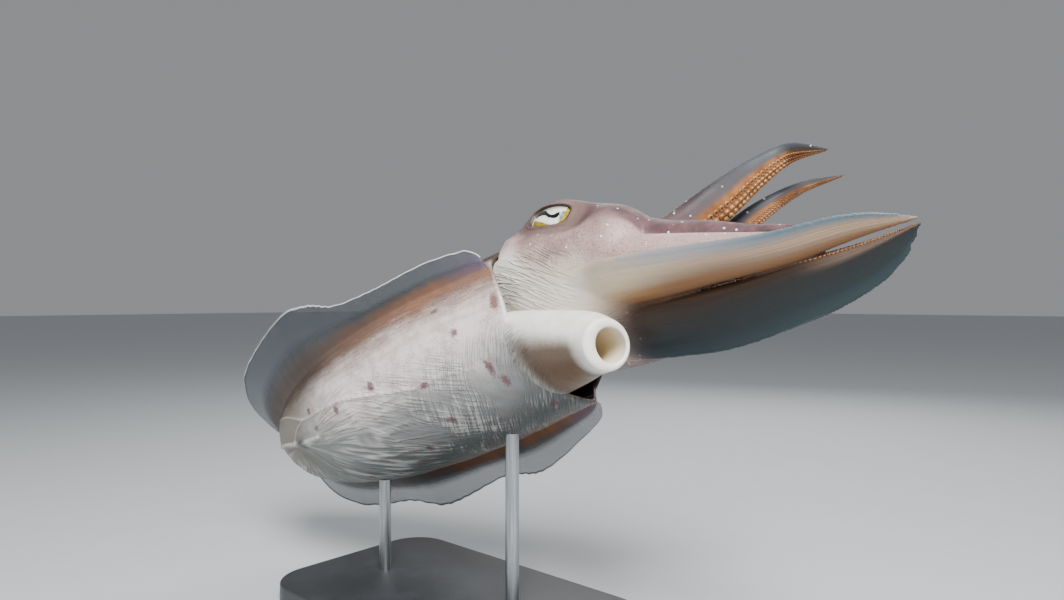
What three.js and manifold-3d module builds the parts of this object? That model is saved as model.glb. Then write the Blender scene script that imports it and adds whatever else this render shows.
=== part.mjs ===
// Life-size museum model of a broadclub cuttlefish swimming, held by a plain display stand.
// Millimetres, +Z up. The animal heads along +X. The origin is under the middle of the base.

import * as THREE from 'three';
import { mergeVertices } from 'three/addons/utils/BufferGeometryUtils.js';
import Module from 'manifold-3d';

const library = await Module();
library.setup();

// Pose of the whole animal: it banks to its left, belly towards the viewer, and climbs
const GAP = 0.3;
const BANK = THREE.MathUtils.degToRad(-53.2);
const CLIMB = THREE.MathUtils.degToRad(-20.3);
const OPENING_PLACE = new THREE.Vector3(84, 6, 206);

// Mantle: x forward from its opening, y to the animal's left, z to its back
const MANTLE_BACK = 298;
const BACK_LOBE = 22;
const LOBE_POINT = 1.7;
const TAIL_DROOP = 16;
const FLANK_DROP = 0.2;
const BELLY_SQUARE = 2.4;
const RIM_WALL = 3.5;
const RECESS = 24;
const MANTLE_SIDES = 36;

// Fins: width out from the flank, waves along the length, and the thickness of the sheet
const FIN_START = 0.006;
const FIN_END = 0.985;
const FIN_ROOT_THICK = 3.2;
const FIN_EDGE_THICK = 1;
const FIN_ROOT_DEPTH = 5;
const FIN_ROWS = 36;
const FIN_COLUMNS = 4;

// Head: x forward from the neck, in its own frame set on the mantle's opening
const HEAD_PLACE = new THREE.Vector3(1.4, -7.5, 8.2);
const HEAD_TURN = [-7.7, 7.6, 4.2].map(THREE.MathUtils.degToRad);
const NECK_BACK = -34;
const CROWN = 80;
const CROWN_SHIFT = 3.5;
const HEAD_SIDES = 34;
const HEAD_ROWS = 16;
const EYE_RADII = new THREE.Vector3(25, 19.5, 19.5);
const EYE_PLACE = new THREE.Vector3(35, 38, 14);
const EYE_LOOK_DOWN = THREE.MathUtils.degToRad(30);
const EYE_BULGE = 10;
const BULGE_CENTRE = new THREE.Vector3(35, 0, 22);
const BULGE_SPREAD = [25, 19];
const BULGE_RISE = 0.7;
const LID_HALF_LENGTH = 19;
const LID_HALF_HEIGHT = 7.5;
const LID_TURN = THREE.MathUtils.degToRad(8);
const LID_RIM = 1.6;
const LID_RAISE = 1.8;
const LID_SET_BACK = 0.4;
const SOCKET_DEPTH = 40;

// Arms and their suckers
const ARM_SIDES = 10;
const ARM_ROWS = 16;
const CUPS_START = 0.16;
const CUPS_END = 0.965;
const CUP_MARGIN = 0.015;
const CUP_SIDES = 5;
const CUP_WAIST = 0.8;
const CUP_ROOT = 0.5;
const CUP_STAND = 0.55;
const CUP_TIP_SHARE = 0.2;
const CUP_ROW_TURN = 0.62;
const ARM_SPLIT = 0.5;
const ORAL_FLAT = 0.72;
const KEEL_THIN = 0.72;

// Funnel: the siphon under the neck, in the mantle's frame
const FUNNEL_BORE = 45;
const FUNNEL_SIDES = 22;
const LIP_WALL = 3;
const LIP_ROUND = 0.97;
const BORE_WALL = 7;

// Stand
const BASE_LENGTH = 250;
const BASE_WIDTH = 150;
const BASE_THICK = 14;
const BASE_CORNER = 30;
const ROD_RADIUS = 4.5;
const ROD_SIDES = 16;
const ROD_SOCKET = 8;
const ROD_SPREAD = [-74, 62];
const ROD_SIDE = -2;

const SKIN = new THREE.MeshStandardMaterial({ color: 0xb9a79c, roughness: 0.55, metalness: 0 });
const BELLY_SKIN = new THREE.MeshStandardMaterial({ color: 0xe3dfdc, roughness: 0.5, metalness: 0 });
const FIN_SKIN = new THREE.MeshStandardMaterial({ color: 0xa9aeb0, roughness: 0.45, metalness: 0 });
const FUNNEL_SKIN = new THREE.MeshStandardMaterial({ color: 0xece3cf, roughness: 0.5, metalness: 0 });
const ARM_SKIN = new THREE.MeshStandardMaterial({ color: 0xa58f80, roughness: 0.5, metalness: 0 });
const EYE_GLOSS = new THREE.MeshStandardMaterial({ color: 0xd8d8c8, roughness: 0.1, metalness: 0 });
const BASE_PAINT = new THREE.MeshStandardMaterial({ color: 0x2b2d30, roughness: 0.5, metalness: 0 });
const ROD_STEEL = new THREE.MeshStandardMaterial({ color: 0xa8abad, roughness: 0.3, metalness: 1 });

// A smooth curve through a few [place, value] pairs
function through(pairs) {
  const places = pairs.map((pair) => pair[0]);
  const values = pairs.map((pair) => pair[1]);
  const curve = new THREE.CubicInterpolant(places, values, 1, new Float32Array(1));
  return (place) => curve.evaluate(place)[0];
}

function mixed(a, b, share) {
  return a + (b - a) * share;
}

function tidied(geometry) {
  const bare = geometry.clone();
  bare.deleteAttribute('normal');
  bare.deleteAttribute('uv');
  return mergeVertices(bare, 1e-4);
}

// A capped cylinder, each point moved to place(along, angle, reach)
function loft(sides, rows, place) {
  const geometry = new THREE.CylinderGeometry(1, 1, 1, sides, rows);
  const points = geometry.attributes.position;
  for (let i = 0; i < points.count; i += 1) {
    const reach = Math.min(1, Math.hypot(points.getX(i), points.getZ(i)));
    const angle = Math.atan2(-points.getZ(i), points.getX(i));
    const spot = place(points.getY(i) + 0.5, angle, reach);
    points.setXYZ(i, spot.x, spot.y, spot.z);
  }
  return tidied(geometry);
}

// A ball, each point moved to place(row, angle), with rows counted from one pole to the other
function bulb(sides, rows, place) {
  const geometry = new THREE.SphereGeometry(1, sides, rows);
  const points = geometry.attributes.position;
  for (let i = 0; i < points.count; i += 1) {
    const row = Math.round(rows * geometry.attributes.uv.getY(i));
    const angle = Math.atan2(-points.getZ(i), points.getX(i));
    const spot = place(row, angle);
    points.setXYZ(i, spot.x, spot.y, spot.z);
  }
  return tidied(geometry);
}

// A thin closed sheet with like triangles on both faces: place(along, out, face), face 1 or -1
function sheet(rows, columns, place) {
  const grid = new THREE.PlaneGeometry(1, 1, rows, columns);
  const uv = grid.attributes.uv;
  const spots = [];
  for (const face of [1, -1]) {
    for (let i = 0; i < uv.count; i += 1) {
      spots.push(place(uv.getX(i), 1 - uv.getY(i), face));
    }
  }
  const index = [];
  const faces = grid.index.array;
  for (let i = 0; i < faces.length; i += 3) {
    index.push(faces[i], faces[i + 1], faces[i + 2]);
    index.push(uv.count + faces[i], uv.count + faces[i + 2], uv.count + faces[i + 1]);
  }
  const rim = [];
  const line = rows + 1;
  for (let i = 0; i < rows; i += 1) {
    rim.push(i);
  }
  for (let j = 0; j < columns; j += 1) {
    rim.push(rows + j * line);
  }
  for (let i = rows; i > 0; i -= 1) {
    rim.push(columns * line + i);
  }
  for (let j = columns; j > 0; j -= 1) {
    rim.push(j * line);
  }
  rim.forEach((here, place) => {
    const next = rim[(place + 1) % rim.length];
    index.push(here, next, here + uv.count);
    index.push(next, next + uv.count, here + uv.count);
  });
  const geometry = new THREE.BufferGeometry().setFromPoints(spots);
  geometry.setIndex(index);
  return geometry;
}

function solid(geometry, matrix = null) {
  const welded = tidied(geometry);
  if (matrix) welded.applyMatrix4(matrix);
  const vertProperties = welded.attributes.position.array;
  const triVerts = new Uint32Array(welded.index.array);
  return new library.Manifold(new library.Mesh({ numProp: 3, vertProperties, triVerts }));
}

// The largest closed surface of a solid, back as a geometry
function geometryOf(form) {
  const pieces = form.decompose().sort((a, b) => b.volume() - a.volume());
  const mesh = pieces[0].getMesh();
  const geometry = new THREE.BufferGeometry();
  geometry.setAttribute('position', new THREE.BufferAttribute(mesh.vertProperties, 3));
  geometry.setIndex(new THREE.BufferAttribute(mesh.triVerts, 1));
  return geometry;
}

function named(name, geometry, material) {
  const shown = geometry.toNonIndexed();
  shown.computeVertexNormals();
  const mesh = new THREE.Mesh(shown, material);
  mesh.name = name;
  return mesh;
}

// Mantle: a broad sack, blunt behind, flatter on the back than on the belly
const mantleHalf = through([[0, 57], [0.25, 63], [0.5, 64], [0.75, 62], [1, 60]]);
const mantleRise = through([[0, 41], [0.35, 44], [0.6, 45], [1, 45]]);
const mantleDrop = through([[0, 48], [0.3, 57], [0.55, 61], [1, 60]]);
const bellyLobe = through([[0, 0], [0.5, 14.5], [0.8, 17.5], [0.95, 13], [1, 10]]);

function mantleRim(angle) {
  const up = Math.sin(angle);
  return up > 0 ? BACK_LOBE * up ** LOBE_POINT : bellyLobe(-up);
}

function mantleSection(share, angle, out) {
  const wide = (mantleHalf(share) + out) * Math.sqrt(Math.max(0, 1 - share ** 4.5));
  const rise = (mantleRise(share) + out) * Math.sqrt(Math.max(0, 1 - share ** 4));
  const drop = (mantleDrop(share) + out) * Math.sqrt(Math.max(0, 1 - share ** 3.2));
  const side = Math.cos(angle);
  const up = Math.sin(angle);
  if (up > 0) return [wide * side, rise * up];
  const power = 2 / BELLY_SQUARE;
  return [wide * Math.sign(side) * Math.abs(side) ** power, -drop * Math.abs(up) ** power];
}

function mantleOuter(share, angle, grow = 0) {
  const [y, z] = mantleSection(share, angle, grow);
  const rim = mantleRim(angle) + grow;
  const tip = -MANTLE_BACK - grow;
  return new THREE.Vector3(mixed(rim, tip, share), y, z - TAIL_DROOP * share ** 3);
}

// Rows run from the tail to the rim, over it, down the inner wall and across the recess's floor
function mantleForm(grow = 0) {
  const wallRows = 22;
  const innerRows = 2;
  const floorRows = 2;
  const rimRow = wallRows + 1;
  const rows = rimRow + innerRows + floorRows;
  return bulb(MANTLE_SIDES, rows, (row, angle) => {
    if (row <= wallRows) return mantleOuter(1 - (row / wallRows) ** 1.5, angle, grow);
    const inner = mantleSection(0, angle, -RIM_WALL - grow);
    const lip = mantleRim(angle) + grow;
    const floor = -RECESS + grow;
    const depth = Math.min(1, (row - rimRow) / innerRows);
    const spread = Math.min(1, (rows - row) / floorRows);
    return new THREE.Vector3(mixed(lip, floor, depth), inner[0] * spread, inner[1] * spread);
  });
}

// Fins: one along each flank, wide behind, thrown into slow waves
const FINS = {
  right: {
    width: through([
      [0, 13], [0.1, 18], [0.3, 21], [0.45, 26], [0.6, 38], [0.7, 46], [0.82, 46], [0.94, 36], [1, 14],
    ]),
    lift: through([[0, 6], [0.15, 4], [0.3, -2], [0.45, 2], [0.6, 20], [0.74, 26], [0.88, 4], [1, 0]]),
  },
  left: {
    width: through([
      [0, 12], [0.06, 22], [0.15, 29], [0.35, 33], [0.55, 37], [0.75, 42], [0.93, 34], [1, 14],
    ]),
    lift: through([[0, 6], [0.1, 9], [0.25, -5], [0.42, 8], [0.6, -4], [0.78, 9], [0.92, -2], [1, 0]]),
  },
};

function finForm(side) {
  const flank = side > 0 ? -FLANK_DROP : Math.PI + FLANK_DROP;
  const { width, lift } = side > 0 ? FINS.left : FINS.right;
  return sheet(FIN_ROWS, FIN_COLUMNS, (along, out, face) => {
    const share = mixed(FIN_START, FIN_END, along);
    const root = mantleOuter(share, flank);
    const ahead = mantleOuter(share - 0.004, flank);
    const behind = mantleOuter(share + 0.004, flank);
    const run = new THREE.Vector3().subVectors(ahead, behind).normalize();
    const outward = new THREE.Vector3(-Math.abs(run.y), side * Math.abs(run.x), 0).normalize();
    const reach = mixed(-FIN_ROOT_DEPTH, width(along), out);
    const free = Math.max(0, reach) / width(along);
    const thick = mixed(FIN_ROOT_THICK, FIN_EDGE_THICK, Math.sqrt(free)) / 2;
    const spot = root.addScaledVector(outward, reach);
    spot.z += lift(along) * free ** 1.7 + face * side * thick;
    return spot;
  });
}

// Head: oval neck, swelling at the eyes, narrowing to the crown of the arms
const headHalf = through([[-34, 46], [-12, 49.5], [8, 52.5], [32, 52.5], [56, 53], [80, 45]]);
const headRise = through([[-34, 27], [-12, 31], [8, 34], [32, 37], [56, 36], [80, 31]]);
const headDrop = through([[-34, 24], [-12, 28], [8, 32], [32, 35], [56, 36], [80, 34]]);
const headLift = through([[-34, 2], [-12, 5], [8, 8], [32, 8], [56, 5], [80, 1]]);

function headSpot(x, angle, grow = 0) {
  const up = Math.sin(angle);
  const y = (headHalf(x) + grow) * Math.cos(angle);
  const z = (up > 0 ? headRise(x) - headLift(x) + grow : headDrop(x) + headLift(x) + grow) * up;
  const spot = new THREE.Vector3(x, y, z + headLift(x));
  const away = spot.clone().sub(BULGE_CENTRE);
  const near = Math.hypot(away.x / BULGE_SPREAD[0], away.z / BULGE_SPREAD[1]);
  const bulge = EYE_BULGE * Math.exp(-near * near);
  const outward = new THREE.Vector3(0, Math.cos(angle), up * BULGE_RISE).normalize();
  return spot.addScaledVector(outward, bulge);
}

function headForm(grow = 0) {
  return loft(HEAD_SIDES, HEAD_ROWS, (along, angle, reach) => {
    const x = mixed(NECK_BACK, CROWN, along);
    const spot = headSpot(x, angle, grow);
    if (along === 0) spot.x -= grow;
    if (along === 1) spot.x += grow;
    spot.y *= reach;
    spot.z *= reach;
    return spot;
  });
}

// Arms: named by pair, counted from the back to the belly. Each has a path out from the
// crown in the head's frame, half its breadth and half its depth along the way, the side
// that its suckers face at root and tip, and the keel that widens its outer edge.
const ARM_PAIRS = {
  1: {
    right: [[66, -13, 15], [92, -18, 26], [113, -22, 52], [128, -23, 81], [146, -23, 97], [178, -22, 74]],
    left: [[66, 13, 15], [91, 15, 36], [106, 12, 65], [122, 9, 88], [142, 6, 102], [170, 4, 102]],
    half: [[0, 15], [0.25, 15], [0.5, 12], [0.75, 6.8], [0.93, 2.6], [1, 0.7]],
    deep: [[0, 11], [0.3, 9], [0.6, 6.5], [0.85, 3.5], [1, 0.7]],
    oral: [[0.25, 0, -1], [0.8, 0, -0.6], [0.1, 0, -1]],
    slim: 0.7,
    cups: { rows: 2, count: 24, radius: 3.2 },
    keel: [0, 0],
  },
  2: {
    right: [[66, -29, 10], [100, -27, 8], [130, -22, 4], [155, -14, 1], [184, -8, -4]],
    half: [[0, 14], [0.3, 13], [0.6, 9], [0.85, 4.5], [1, 0.7]],
    deep: [[0, 12], [0.3, 9], [0.6, 6.5], [0.85, 3.5], [1, 0.7]],
    oral: [[0, 0.9, -0.4], [0, 0.9, -0.4], [0, 0.9, -0.4]],
    cups: { rows: 2, count: 12, radius: 3 },
    keel: [0, 0],
  },
  3: {
    right: [[66, -29, -14], [100, -28, -15], [135, -22, -16], [170, -13, -16], [205, -5, -15]],
    half: [[0, 13], [0.3, 12], [0.6, 9], [0.85, 4.5], [1, 0.7]],
    deep: [[0, 12], [0.3, 9], [0.6, 6.5], [0.85, 3.5], [1, 0.7]],
    oral: [[0, 0.95, 0.3], [0, 0.95, 0.3], [0, 0.95, 0.3]],
    cups: { rows: 2, count: 12, radius: 3 },
    keel: [0, 0],
  },
  4: {
    right: [
      [66, -15, -24], [100, -15.5, -27], [140, -13, -28], [180, -8.5, -26], [212, -6, -21], [235, -1.5, -16],
    ],
    half: [[0, 16], [0.3, 15], [0.6, 10], [0.85, 4.5], [1, 0.7]],
    deep: [[0, 10], [0.3, 9], [0.6, 7], [0.85, 3.5], [1, 0.7]],
    oral: [[0, -0.3, 1], [0, -0.3, 1], [0, -0.3, 1]],
    cups: { rows: 2, count: 18, radius: 3 },
    keel: [7, 12],
  },
};
const keelSwell = through([[0, 0.1], [0.2, 0.7], [0.45, 1], [0.75, 0.75], [0.93, 0.3], [1, 0]]);

function slimOf(pair, side) {
  return side > 0 && ARM_PAIRS[pair].slim ? ARM_PAIRS[pair].slim : 1;
}

function armPath(pair, side) {
  const plan = ARM_PAIRS[pair];
  const spots = side > 0 && plan.left ? plan.left : plan.right;
  const flip = side > 0 && !plan.left ? -1 : 1;
  return new THREE.CatmullRomCurve3(
    spots.map(([x, y, z]) => new THREE.Vector3(x, y * flip + CROWN_SHIFT, z)),
  );
}

function armLength(pair, side) {
  return armPath(pair, side).getLength();
}

function armOf(pair, side) {
  const plan = ARM_PAIRS[pair];
  const path = armPath(pair, side);
  const turn = plan.oral.map(([x, y, z]) => new THREE.Vector3(x, side > 0 ? -y : y, z));
  const facing = new THREE.CatmullRomCurve3(turn);
  const slim = slimOf(pair, side);
  const half = through(plan.half.map(([place, size]) => [place, size * slim]));
  const deep = through(plan.deep);
  const keelWidth = plan.keel[side > 0 ? 1 : 0];
  return (along, angle, reach, grow = 0) => {
    const middle = path.getPointAt(along);
    const tangent = path.getTangentAt(along);
    const oral = facing.getPoint(along);
    oral.addScaledVector(tangent, -oral.dot(tangent)).normalize();
    const across = new THREE.Vector3().crossVectors(oral, tangent);
    const outer = across.y * side > 0 ? 1 : -1;
    const cos = Math.cos(angle);
    const edge = Math.max(0, cos * outer);
    const keel = keelWidth * keelSwell(along) * edge ** 5 * outer;
    const flat = Math.sin(angle) > 0 ? ORAL_FLAT : 1;
    const thin = keelWidth > 0 ? 1 - KEEL_THIN * edge ** 3 * Math.min(1, along * 4) : 1;
    middle.addScaledVector(across, ((half(along) + grow) * cos + keel) * reach);
    middle.addScaledVector(oral, (deep(along) * flat * thin + grow) * Math.sin(angle) * reach);
    return middle;
  };
}

function armForm(pair, side, sides, rows, start = 0, end = 1, grow = 0) {
  const place = armOf(pair, side);
  return loft(sides, rows, (along, angle, reach) => place(mixed(start, end, along), angle, reach, grow));
}

// Suckers: short cups in staggered rows that face the mouth, smaller towards the tip
function suckersOf(pair, side, start, end, grow = 0) {
  const place = armOf(pair, side);
  const upright = new THREE.Vector3(0, 1, 0);
  const { rows, count, radius } = ARM_PAIRS[pair].cups;
  const cups = [];
  for (let i = 0; i < count; i += 1) {
    const along = mixed(CUPS_START, CUPS_END, i / (count - 1));
    if (along < start + CUP_MARGIN || along > end - CUP_MARGIN) continue;
    const row = (i % rows) - (rows - 1) / 2;
    const angle = Math.PI / 2 - row * CUP_ROW_TURN;
    const top = place(along, angle, 1);
    const root = place(along, angle, CUP_ROOT);
    const size = radius * mixed(1, CUP_TIP_SHARE, along) * slimOf(pair, side) + grow;
    const out = top.clone().sub(root);
    const height = out.length() + size * CUP_STAND + grow;
    const cup = new THREE.CylinderGeometry(size, size * CUP_WAIST, height, CUP_SIDES, 1);
    cup.translate(0, height / 2, 0);
    cup.applyQuaternion(new THREE.Quaternion().setFromUnitVectors(upright, out.normalize()));
    cup.translate(root.x, root.y, root.z);
    cups.push(solid(cup));
  }
  return library.Manifold.union(cups);
}

// An arm or a length of it with its suckers, swollen all over by grow
function armSolid(pair, side, start = 0, end = 1, grow = 0) {
  const rows = Math.round(ARM_ROWS * (end - start));
  const core = solid(armForm(pair, side, ARM_SIDES, rows, start, end, grow));
  return core.add(suckersOf(pair, side, start, end, grow));
}

// Funnel: a soft tube out of the mantle under the neck, its mouth turned down a little
const funnelPath = new THREE.CatmullRomCurve3([
  new THREE.Vector3(-22, -1, -31),
  new THREE.Vector3(6, -1, -35),
  new THREE.Vector3(34, -1, -42),
  new THREE.Vector3(62, -1, -49),
  new THREE.Vector3(80, -1, -58),
]);
const funnelHalf = through([[0, 34], [0.3, 31], [0.6, 24], [0.85, 18], [1, 16]]);
const funnelDeep = through([[0, 10], [0.25, 13], [0.5, 16], [0.8, 16.5], [1, 15.5]]);

function funnelSpot(along, angle, inset) {
  const middle = funnelPath.getPointAt(along);
  const tangent = funnelPath.getTangentAt(along);
  const up = new THREE.Vector3(0, 0, 1);
  up.addScaledVector(tangent, -up.dot(tangent)).normalize();
  const across = new THREE.Vector3().crossVectors(up, tangent);
  middle.addScaledVector(across, (funnelHalf(along) - inset) * Math.cos(angle));
  middle.addScaledVector(up, (funnelDeep(along) - inset) * Math.sin(angle));
  return middle;
}

// Rows run from the hidden root along the outside, over the lip and back down the bore
function funnelForm() {
  const wallRows = 10;
  const lipRow = wallRows + 2;
  const boreRows = 5;
  const rows = lipRow + boreRows + 1;
  const boreEnd = 1 - FUNNEL_BORE / funnelPath.getLength();
  return bulb(FUNNEL_SIDES, rows, (row, angle) => {
    if (row === 0) return funnelPath.getPointAt(0);
    if (row <= wallRows) return funnelSpot((row - 1) / (wallRows - 1), angle, 0);
    if (row < lipRow) return funnelSpot(1, angle, LIP_WALL);
    if (row === rows) return funnelPath.getPointAt(boreEnd);
    const share = (row - lipRow) / boreRows;
    return funnelSpot(mixed(LIP_ROUND, boreEnd, share), angle, mixed(LIP_WALL + 1, BORE_WALL, share));
  });
}

// Where the head sits, as a matrix in the mantle's frame
const headGroup = new THREE.Group();
headGroup.position.copy(HEAD_PLACE);
headGroup.rotation.set(HEAD_TURN[0], HEAD_TURN[1], HEAD_TURN[2], 'ZYX');
headGroup.updateMatrix();
const toMantle = headGroup.matrix.clone();
const toHead = toMantle.clone().invert();

const animal = new THREE.Group();
animal.position.copy(OPENING_PLACE);
animal.rotation.set(BANK, CLIMB, 0, 'ZYX');
animal.updateMatrix();

const mantleGrown = solid(mantleForm(GAP));
animal.add(named('mantle', mantleForm(), BELLY_SKIN));
for (const [name, side] of [['fin_right', -1], ['fin_left', 1]]) {
  const fin = solid(finForm(side)).subtract(mantleGrown);
  animal.add(named(name, geometryOf(fin), FIN_SKIN));
}

// Eyes: a ball in a socket, seen between raised lids
function eyeBall(side, grow) {
  const ball = new THREE.SphereGeometry(1, 18, 10);
  ball.scale(EYE_RADII.x + grow, EYE_RADII.y + grow, EYE_RADII.z + grow);
  ball.translate(EYE_PLACE.x, EYE_PLACE.y * side, EYE_PLACE.z);
  return ball;
}

function lidOpening(side) {
  const hole = new THREE.CylinderGeometry(1, 1, 1, 20, 1);
  hole.scale(LID_HALF_LENGTH, SOCKET_DEPTH, LID_HALF_HEIGHT);
  hole.translate(0, side * SOCKET_DEPTH / 2, 0);
  hole.rotateY(LID_TURN);
  hole.rotateX(-EYE_LOOK_DOWN * side);
  hole.translate(EYE_PLACE.x, EYE_PLACE.y * side, EYE_PLACE.z);
  return hole;
}

// A soft raised rim round each eye's opening
function lidRim(side) {
  const ring = new THREE.TorusGeometry(1, LID_RIM, 6, 22);
  const points = ring.attributes.position;
  const turn = ring.attributes.uv;
  for (let i = 0; i < points.count; i += 1) {
    const around = 2 * Math.PI * turn.getX(i);
    const tube = 2 * Math.PI * turn.getY(i);
    const swell = LID_RIM * (LID_SET_BACK + Math.cos(tube));
    const wide = LID_HALF_LENGTH + swell;
    const high = LID_HALF_HEIGHT + swell;
    const x = LID_HALF_LENGTH * Math.cos(around);
    const z = LID_HALF_HEIGHT * Math.sin(around);
    const depth = Math.sqrt(1 - (x / EYE_RADII.x) ** 2 - (z / EYE_RADII.z) ** 2);
    const out = EYE_RADII.y * depth + LID_RAISE + LID_RIM * Math.sin(tube);
    points.setXYZ(i, wide * Math.cos(around), out, -high * Math.sin(around));
  }
  if (side < 0) ring.rotateX(Math.PI);
  ring.rotateY(LID_TURN);
  ring.rotateX(-EYE_LOOK_DOWN * side);
  ring.translate(EYE_PLACE.x, EYE_PLACE.y * side, EYE_PLACE.z);
  return ring;
}

const neckCut = mantleGrown.transform(toHead.elements);
let headSolid = solid(headForm()).subtract(neckCut);
const eyes = {};
for (const side of [-1, 1]) {
  headSolid = headSolid.add(solid(lidRim(side)));
  headSolid = headSolid.subtract(solid(eyeBall(side, GAP))).subtract(solid(lidOpening(side)));
  eyes[side] = solid(eyeBall(side, 0));
}
headGroup.add(named('head', geometryOf(headSolid), SKIN));
headGroup.add(named('eye_right', geometryOf(eyes[-1]), EYE_GLOSS));
headGroup.add(named('eye_left', geometryOf(eyes[1]), EYE_GLOSS));

// Each arm is cut clear of the head and of the arms placed before it
const headGrown = solid(headForm(GAP));
const taken = [headGrown];

function addArm(name, pair, side, start = 0, end = 1) {
  let arm = armSolid(pair, side, start, end);
  for (const other of taken) arm = arm.subtract(other);
  headGroup.add(named(name, geometryOf(arm), ARM_SKIN));
}

for (const pair of [4, 3, 2, 1]) {
  for (const [word, side] of [['right', -1], ['left', 1]]) {
    if (pair === 1) {
      const cut = GAP / 2 / armLength(pair, side);
      addArm(`arm_1_${word}_base`, pair, side, 0, ARM_SPLIT - cut);
      addArm(`arm_1_${word}_tip`, pair, side, ARM_SPLIT + cut, 1);
    } else {
      addArm(`arm_${pair}_${word}`, pair, side);
    }
    taken.push(armSolid(pair, side, 0, 1, GAP));
  }
}
animal.add(headGroup);

const funnelCut = headGrown.transform(toMantle.elements);
let funnelSolid = solid(funnelForm()).subtract(mantleGrown).subtract(funnelCut);
for (const other of taken.slice(1, 3)) {
  funnelSolid = funnelSolid.subtract(other.transform(toMantle.elements));
}
animal.add(named('funnel', geometryOf(funnelSolid), FUNNEL_SKIN));

// Stand: a flat base with two short rods, their tops cut to the belly they carry
function baseForm() {
  const x = BASE_LENGTH / 2;
  const y = BASE_WIDTH / 2;
  const corner = BASE_CORNER;
  const outline = new THREE.Shape();
  outline.moveTo(-x + corner, -y);
  outline.lineTo(x - corner, -y);
  outline.absarc(x - corner, -y + corner, corner, -Math.PI / 2, 0);
  outline.lineTo(x, y - corner);
  outline.absarc(x - corner, y - corner, corner, 0, Math.PI / 2);
  outline.lineTo(-x + corner, y);
  outline.absarc(-x + corner, y - corner, corner, Math.PI / 2, Math.PI);
  outline.lineTo(-x, -y + corner);
  outline.absarc(-x + corner, -y + corner, corner, Math.PI, 1.5 * Math.PI);
  return new THREE.ExtrudeGeometry(outline, { depth: BASE_THICK, bevelEnabled: false, curveSegments: 5 });
}

function rodForm(radius, bottom, top) {
  const rod = new THREE.CylinderGeometry(radius, radius, top - bottom, ROD_SIDES, 1);
  rod.rotateX(Math.PI / 2);
  rod.translate(0, 0, (top + bottom) / 2);
  return rod;
}

const model = new THREE.Group();
let baseSolid = solid(baseForm());
const mantleInRow = mantleGrown.transform(animal.matrix.elements);
ROD_SPREAD.forEach((x, place) => {
  const hole = rodForm(ROD_RADIUS + GAP, BASE_THICK - ROD_SOCKET - GAP, BASE_THICK + 1);
  hole.translate(x, ROD_SIDE, 0);
  baseSolid = baseSolid.subtract(solid(hole));
  const rod = rodForm(ROD_RADIUS, BASE_THICK - ROD_SOCKET, OPENING_PLACE.z);
  rod.translate(x, ROD_SIDE, 0);
  const parts = solid(rod).subtract(mantleInRow).decompose();
  const lowest = parts.sort((a, b) => a.boundingBox().min[2] - b.boundingBox().min[2])[0];
  model.add(named(place ? 'stand_rod_front' : 'stand_rod_back', geometryOf(lowest), ROD_STEEL));
});
model.add(named('stand_base', geometryOf(baseSolid), BASE_PAINT));
model.add(animal);

export default model;
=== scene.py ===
import math

import bmesh
import bpy
import numpy as np
from mathutils import Matrix, Vector, noise


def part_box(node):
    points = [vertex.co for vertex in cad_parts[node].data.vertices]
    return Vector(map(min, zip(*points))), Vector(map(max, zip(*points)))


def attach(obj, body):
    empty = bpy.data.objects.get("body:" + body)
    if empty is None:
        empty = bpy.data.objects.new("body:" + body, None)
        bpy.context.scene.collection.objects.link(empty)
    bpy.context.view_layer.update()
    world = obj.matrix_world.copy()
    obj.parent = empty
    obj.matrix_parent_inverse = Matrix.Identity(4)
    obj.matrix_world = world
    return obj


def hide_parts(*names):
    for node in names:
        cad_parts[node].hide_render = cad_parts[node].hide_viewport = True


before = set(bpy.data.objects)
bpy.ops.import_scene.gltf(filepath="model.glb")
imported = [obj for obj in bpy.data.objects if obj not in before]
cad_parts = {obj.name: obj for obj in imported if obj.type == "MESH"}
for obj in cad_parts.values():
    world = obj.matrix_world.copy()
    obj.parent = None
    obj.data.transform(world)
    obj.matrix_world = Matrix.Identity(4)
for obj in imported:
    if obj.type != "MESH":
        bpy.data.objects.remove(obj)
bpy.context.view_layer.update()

# Camera: low beside the animal's right flank, level, looking up at its belly.
# The lens is wide, so the tail falls away from the arms as it does in the water.
SENSOR_MM, LENS_MM = 36, 25.376
CAMERA_PLACE, CAMERA_TURN = (0.400588, -0.359965, 0.222889), math.radians(41.9)
camera_data = bpy.data.cameras.new("camera")
camera_data.sensor_width = SENSOR_MM
camera_data.lens = LENS_MM
camera_data.clip_start = 0.01
camera = bpy.data.objects.new("camera", camera_data)
camera.location = CAMERA_PLACE
camera.rotation_euler = (math.radians(90), 0, CAMERA_TURN)
bpy.context.scene.collection.objects.link(camera)
bpy.context.scene.camera = camera


# Mantle and fins: one soft sack of skin, blunt behind, open in front round the neck,
# with a thin waving fin all along each flank. One skin is drawn round a body section whose
# outline runs out along each fin and back, so no seam lies between sack and fins.
CLIMB = math.radians(-20.3)
BANK = math.radians(-53.2)
BODY = (
    Matrix.Translation((0.084, 0.006, 0.206))
    @ Matrix.Rotation(CLIMB, 4, "Y")
    @ Matrix.Rotation(BANK, 4, "X")
    @ Matrix.Scale(0.001, 4)
)
TAIL = -298.0
TAIL_DROOP = 16.0
BACK_LOBE = 22.0
LOBE_POINT = 1.7
BELLY_SQUARE = 2.4
RIM_ROUND = 1.75
RECESS = 24.0
FLANK = 0.2
FIN_START, FIN_END = 0.006, 0.985
PINCH = (-226.0, -16.0)
FIN_ROOT_THICK, FIN_EDGE_THICK = 3.2, 1.0
FIN_END_ROUND, FIN_EDGE_ROUND = 0.035, 0.04


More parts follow.
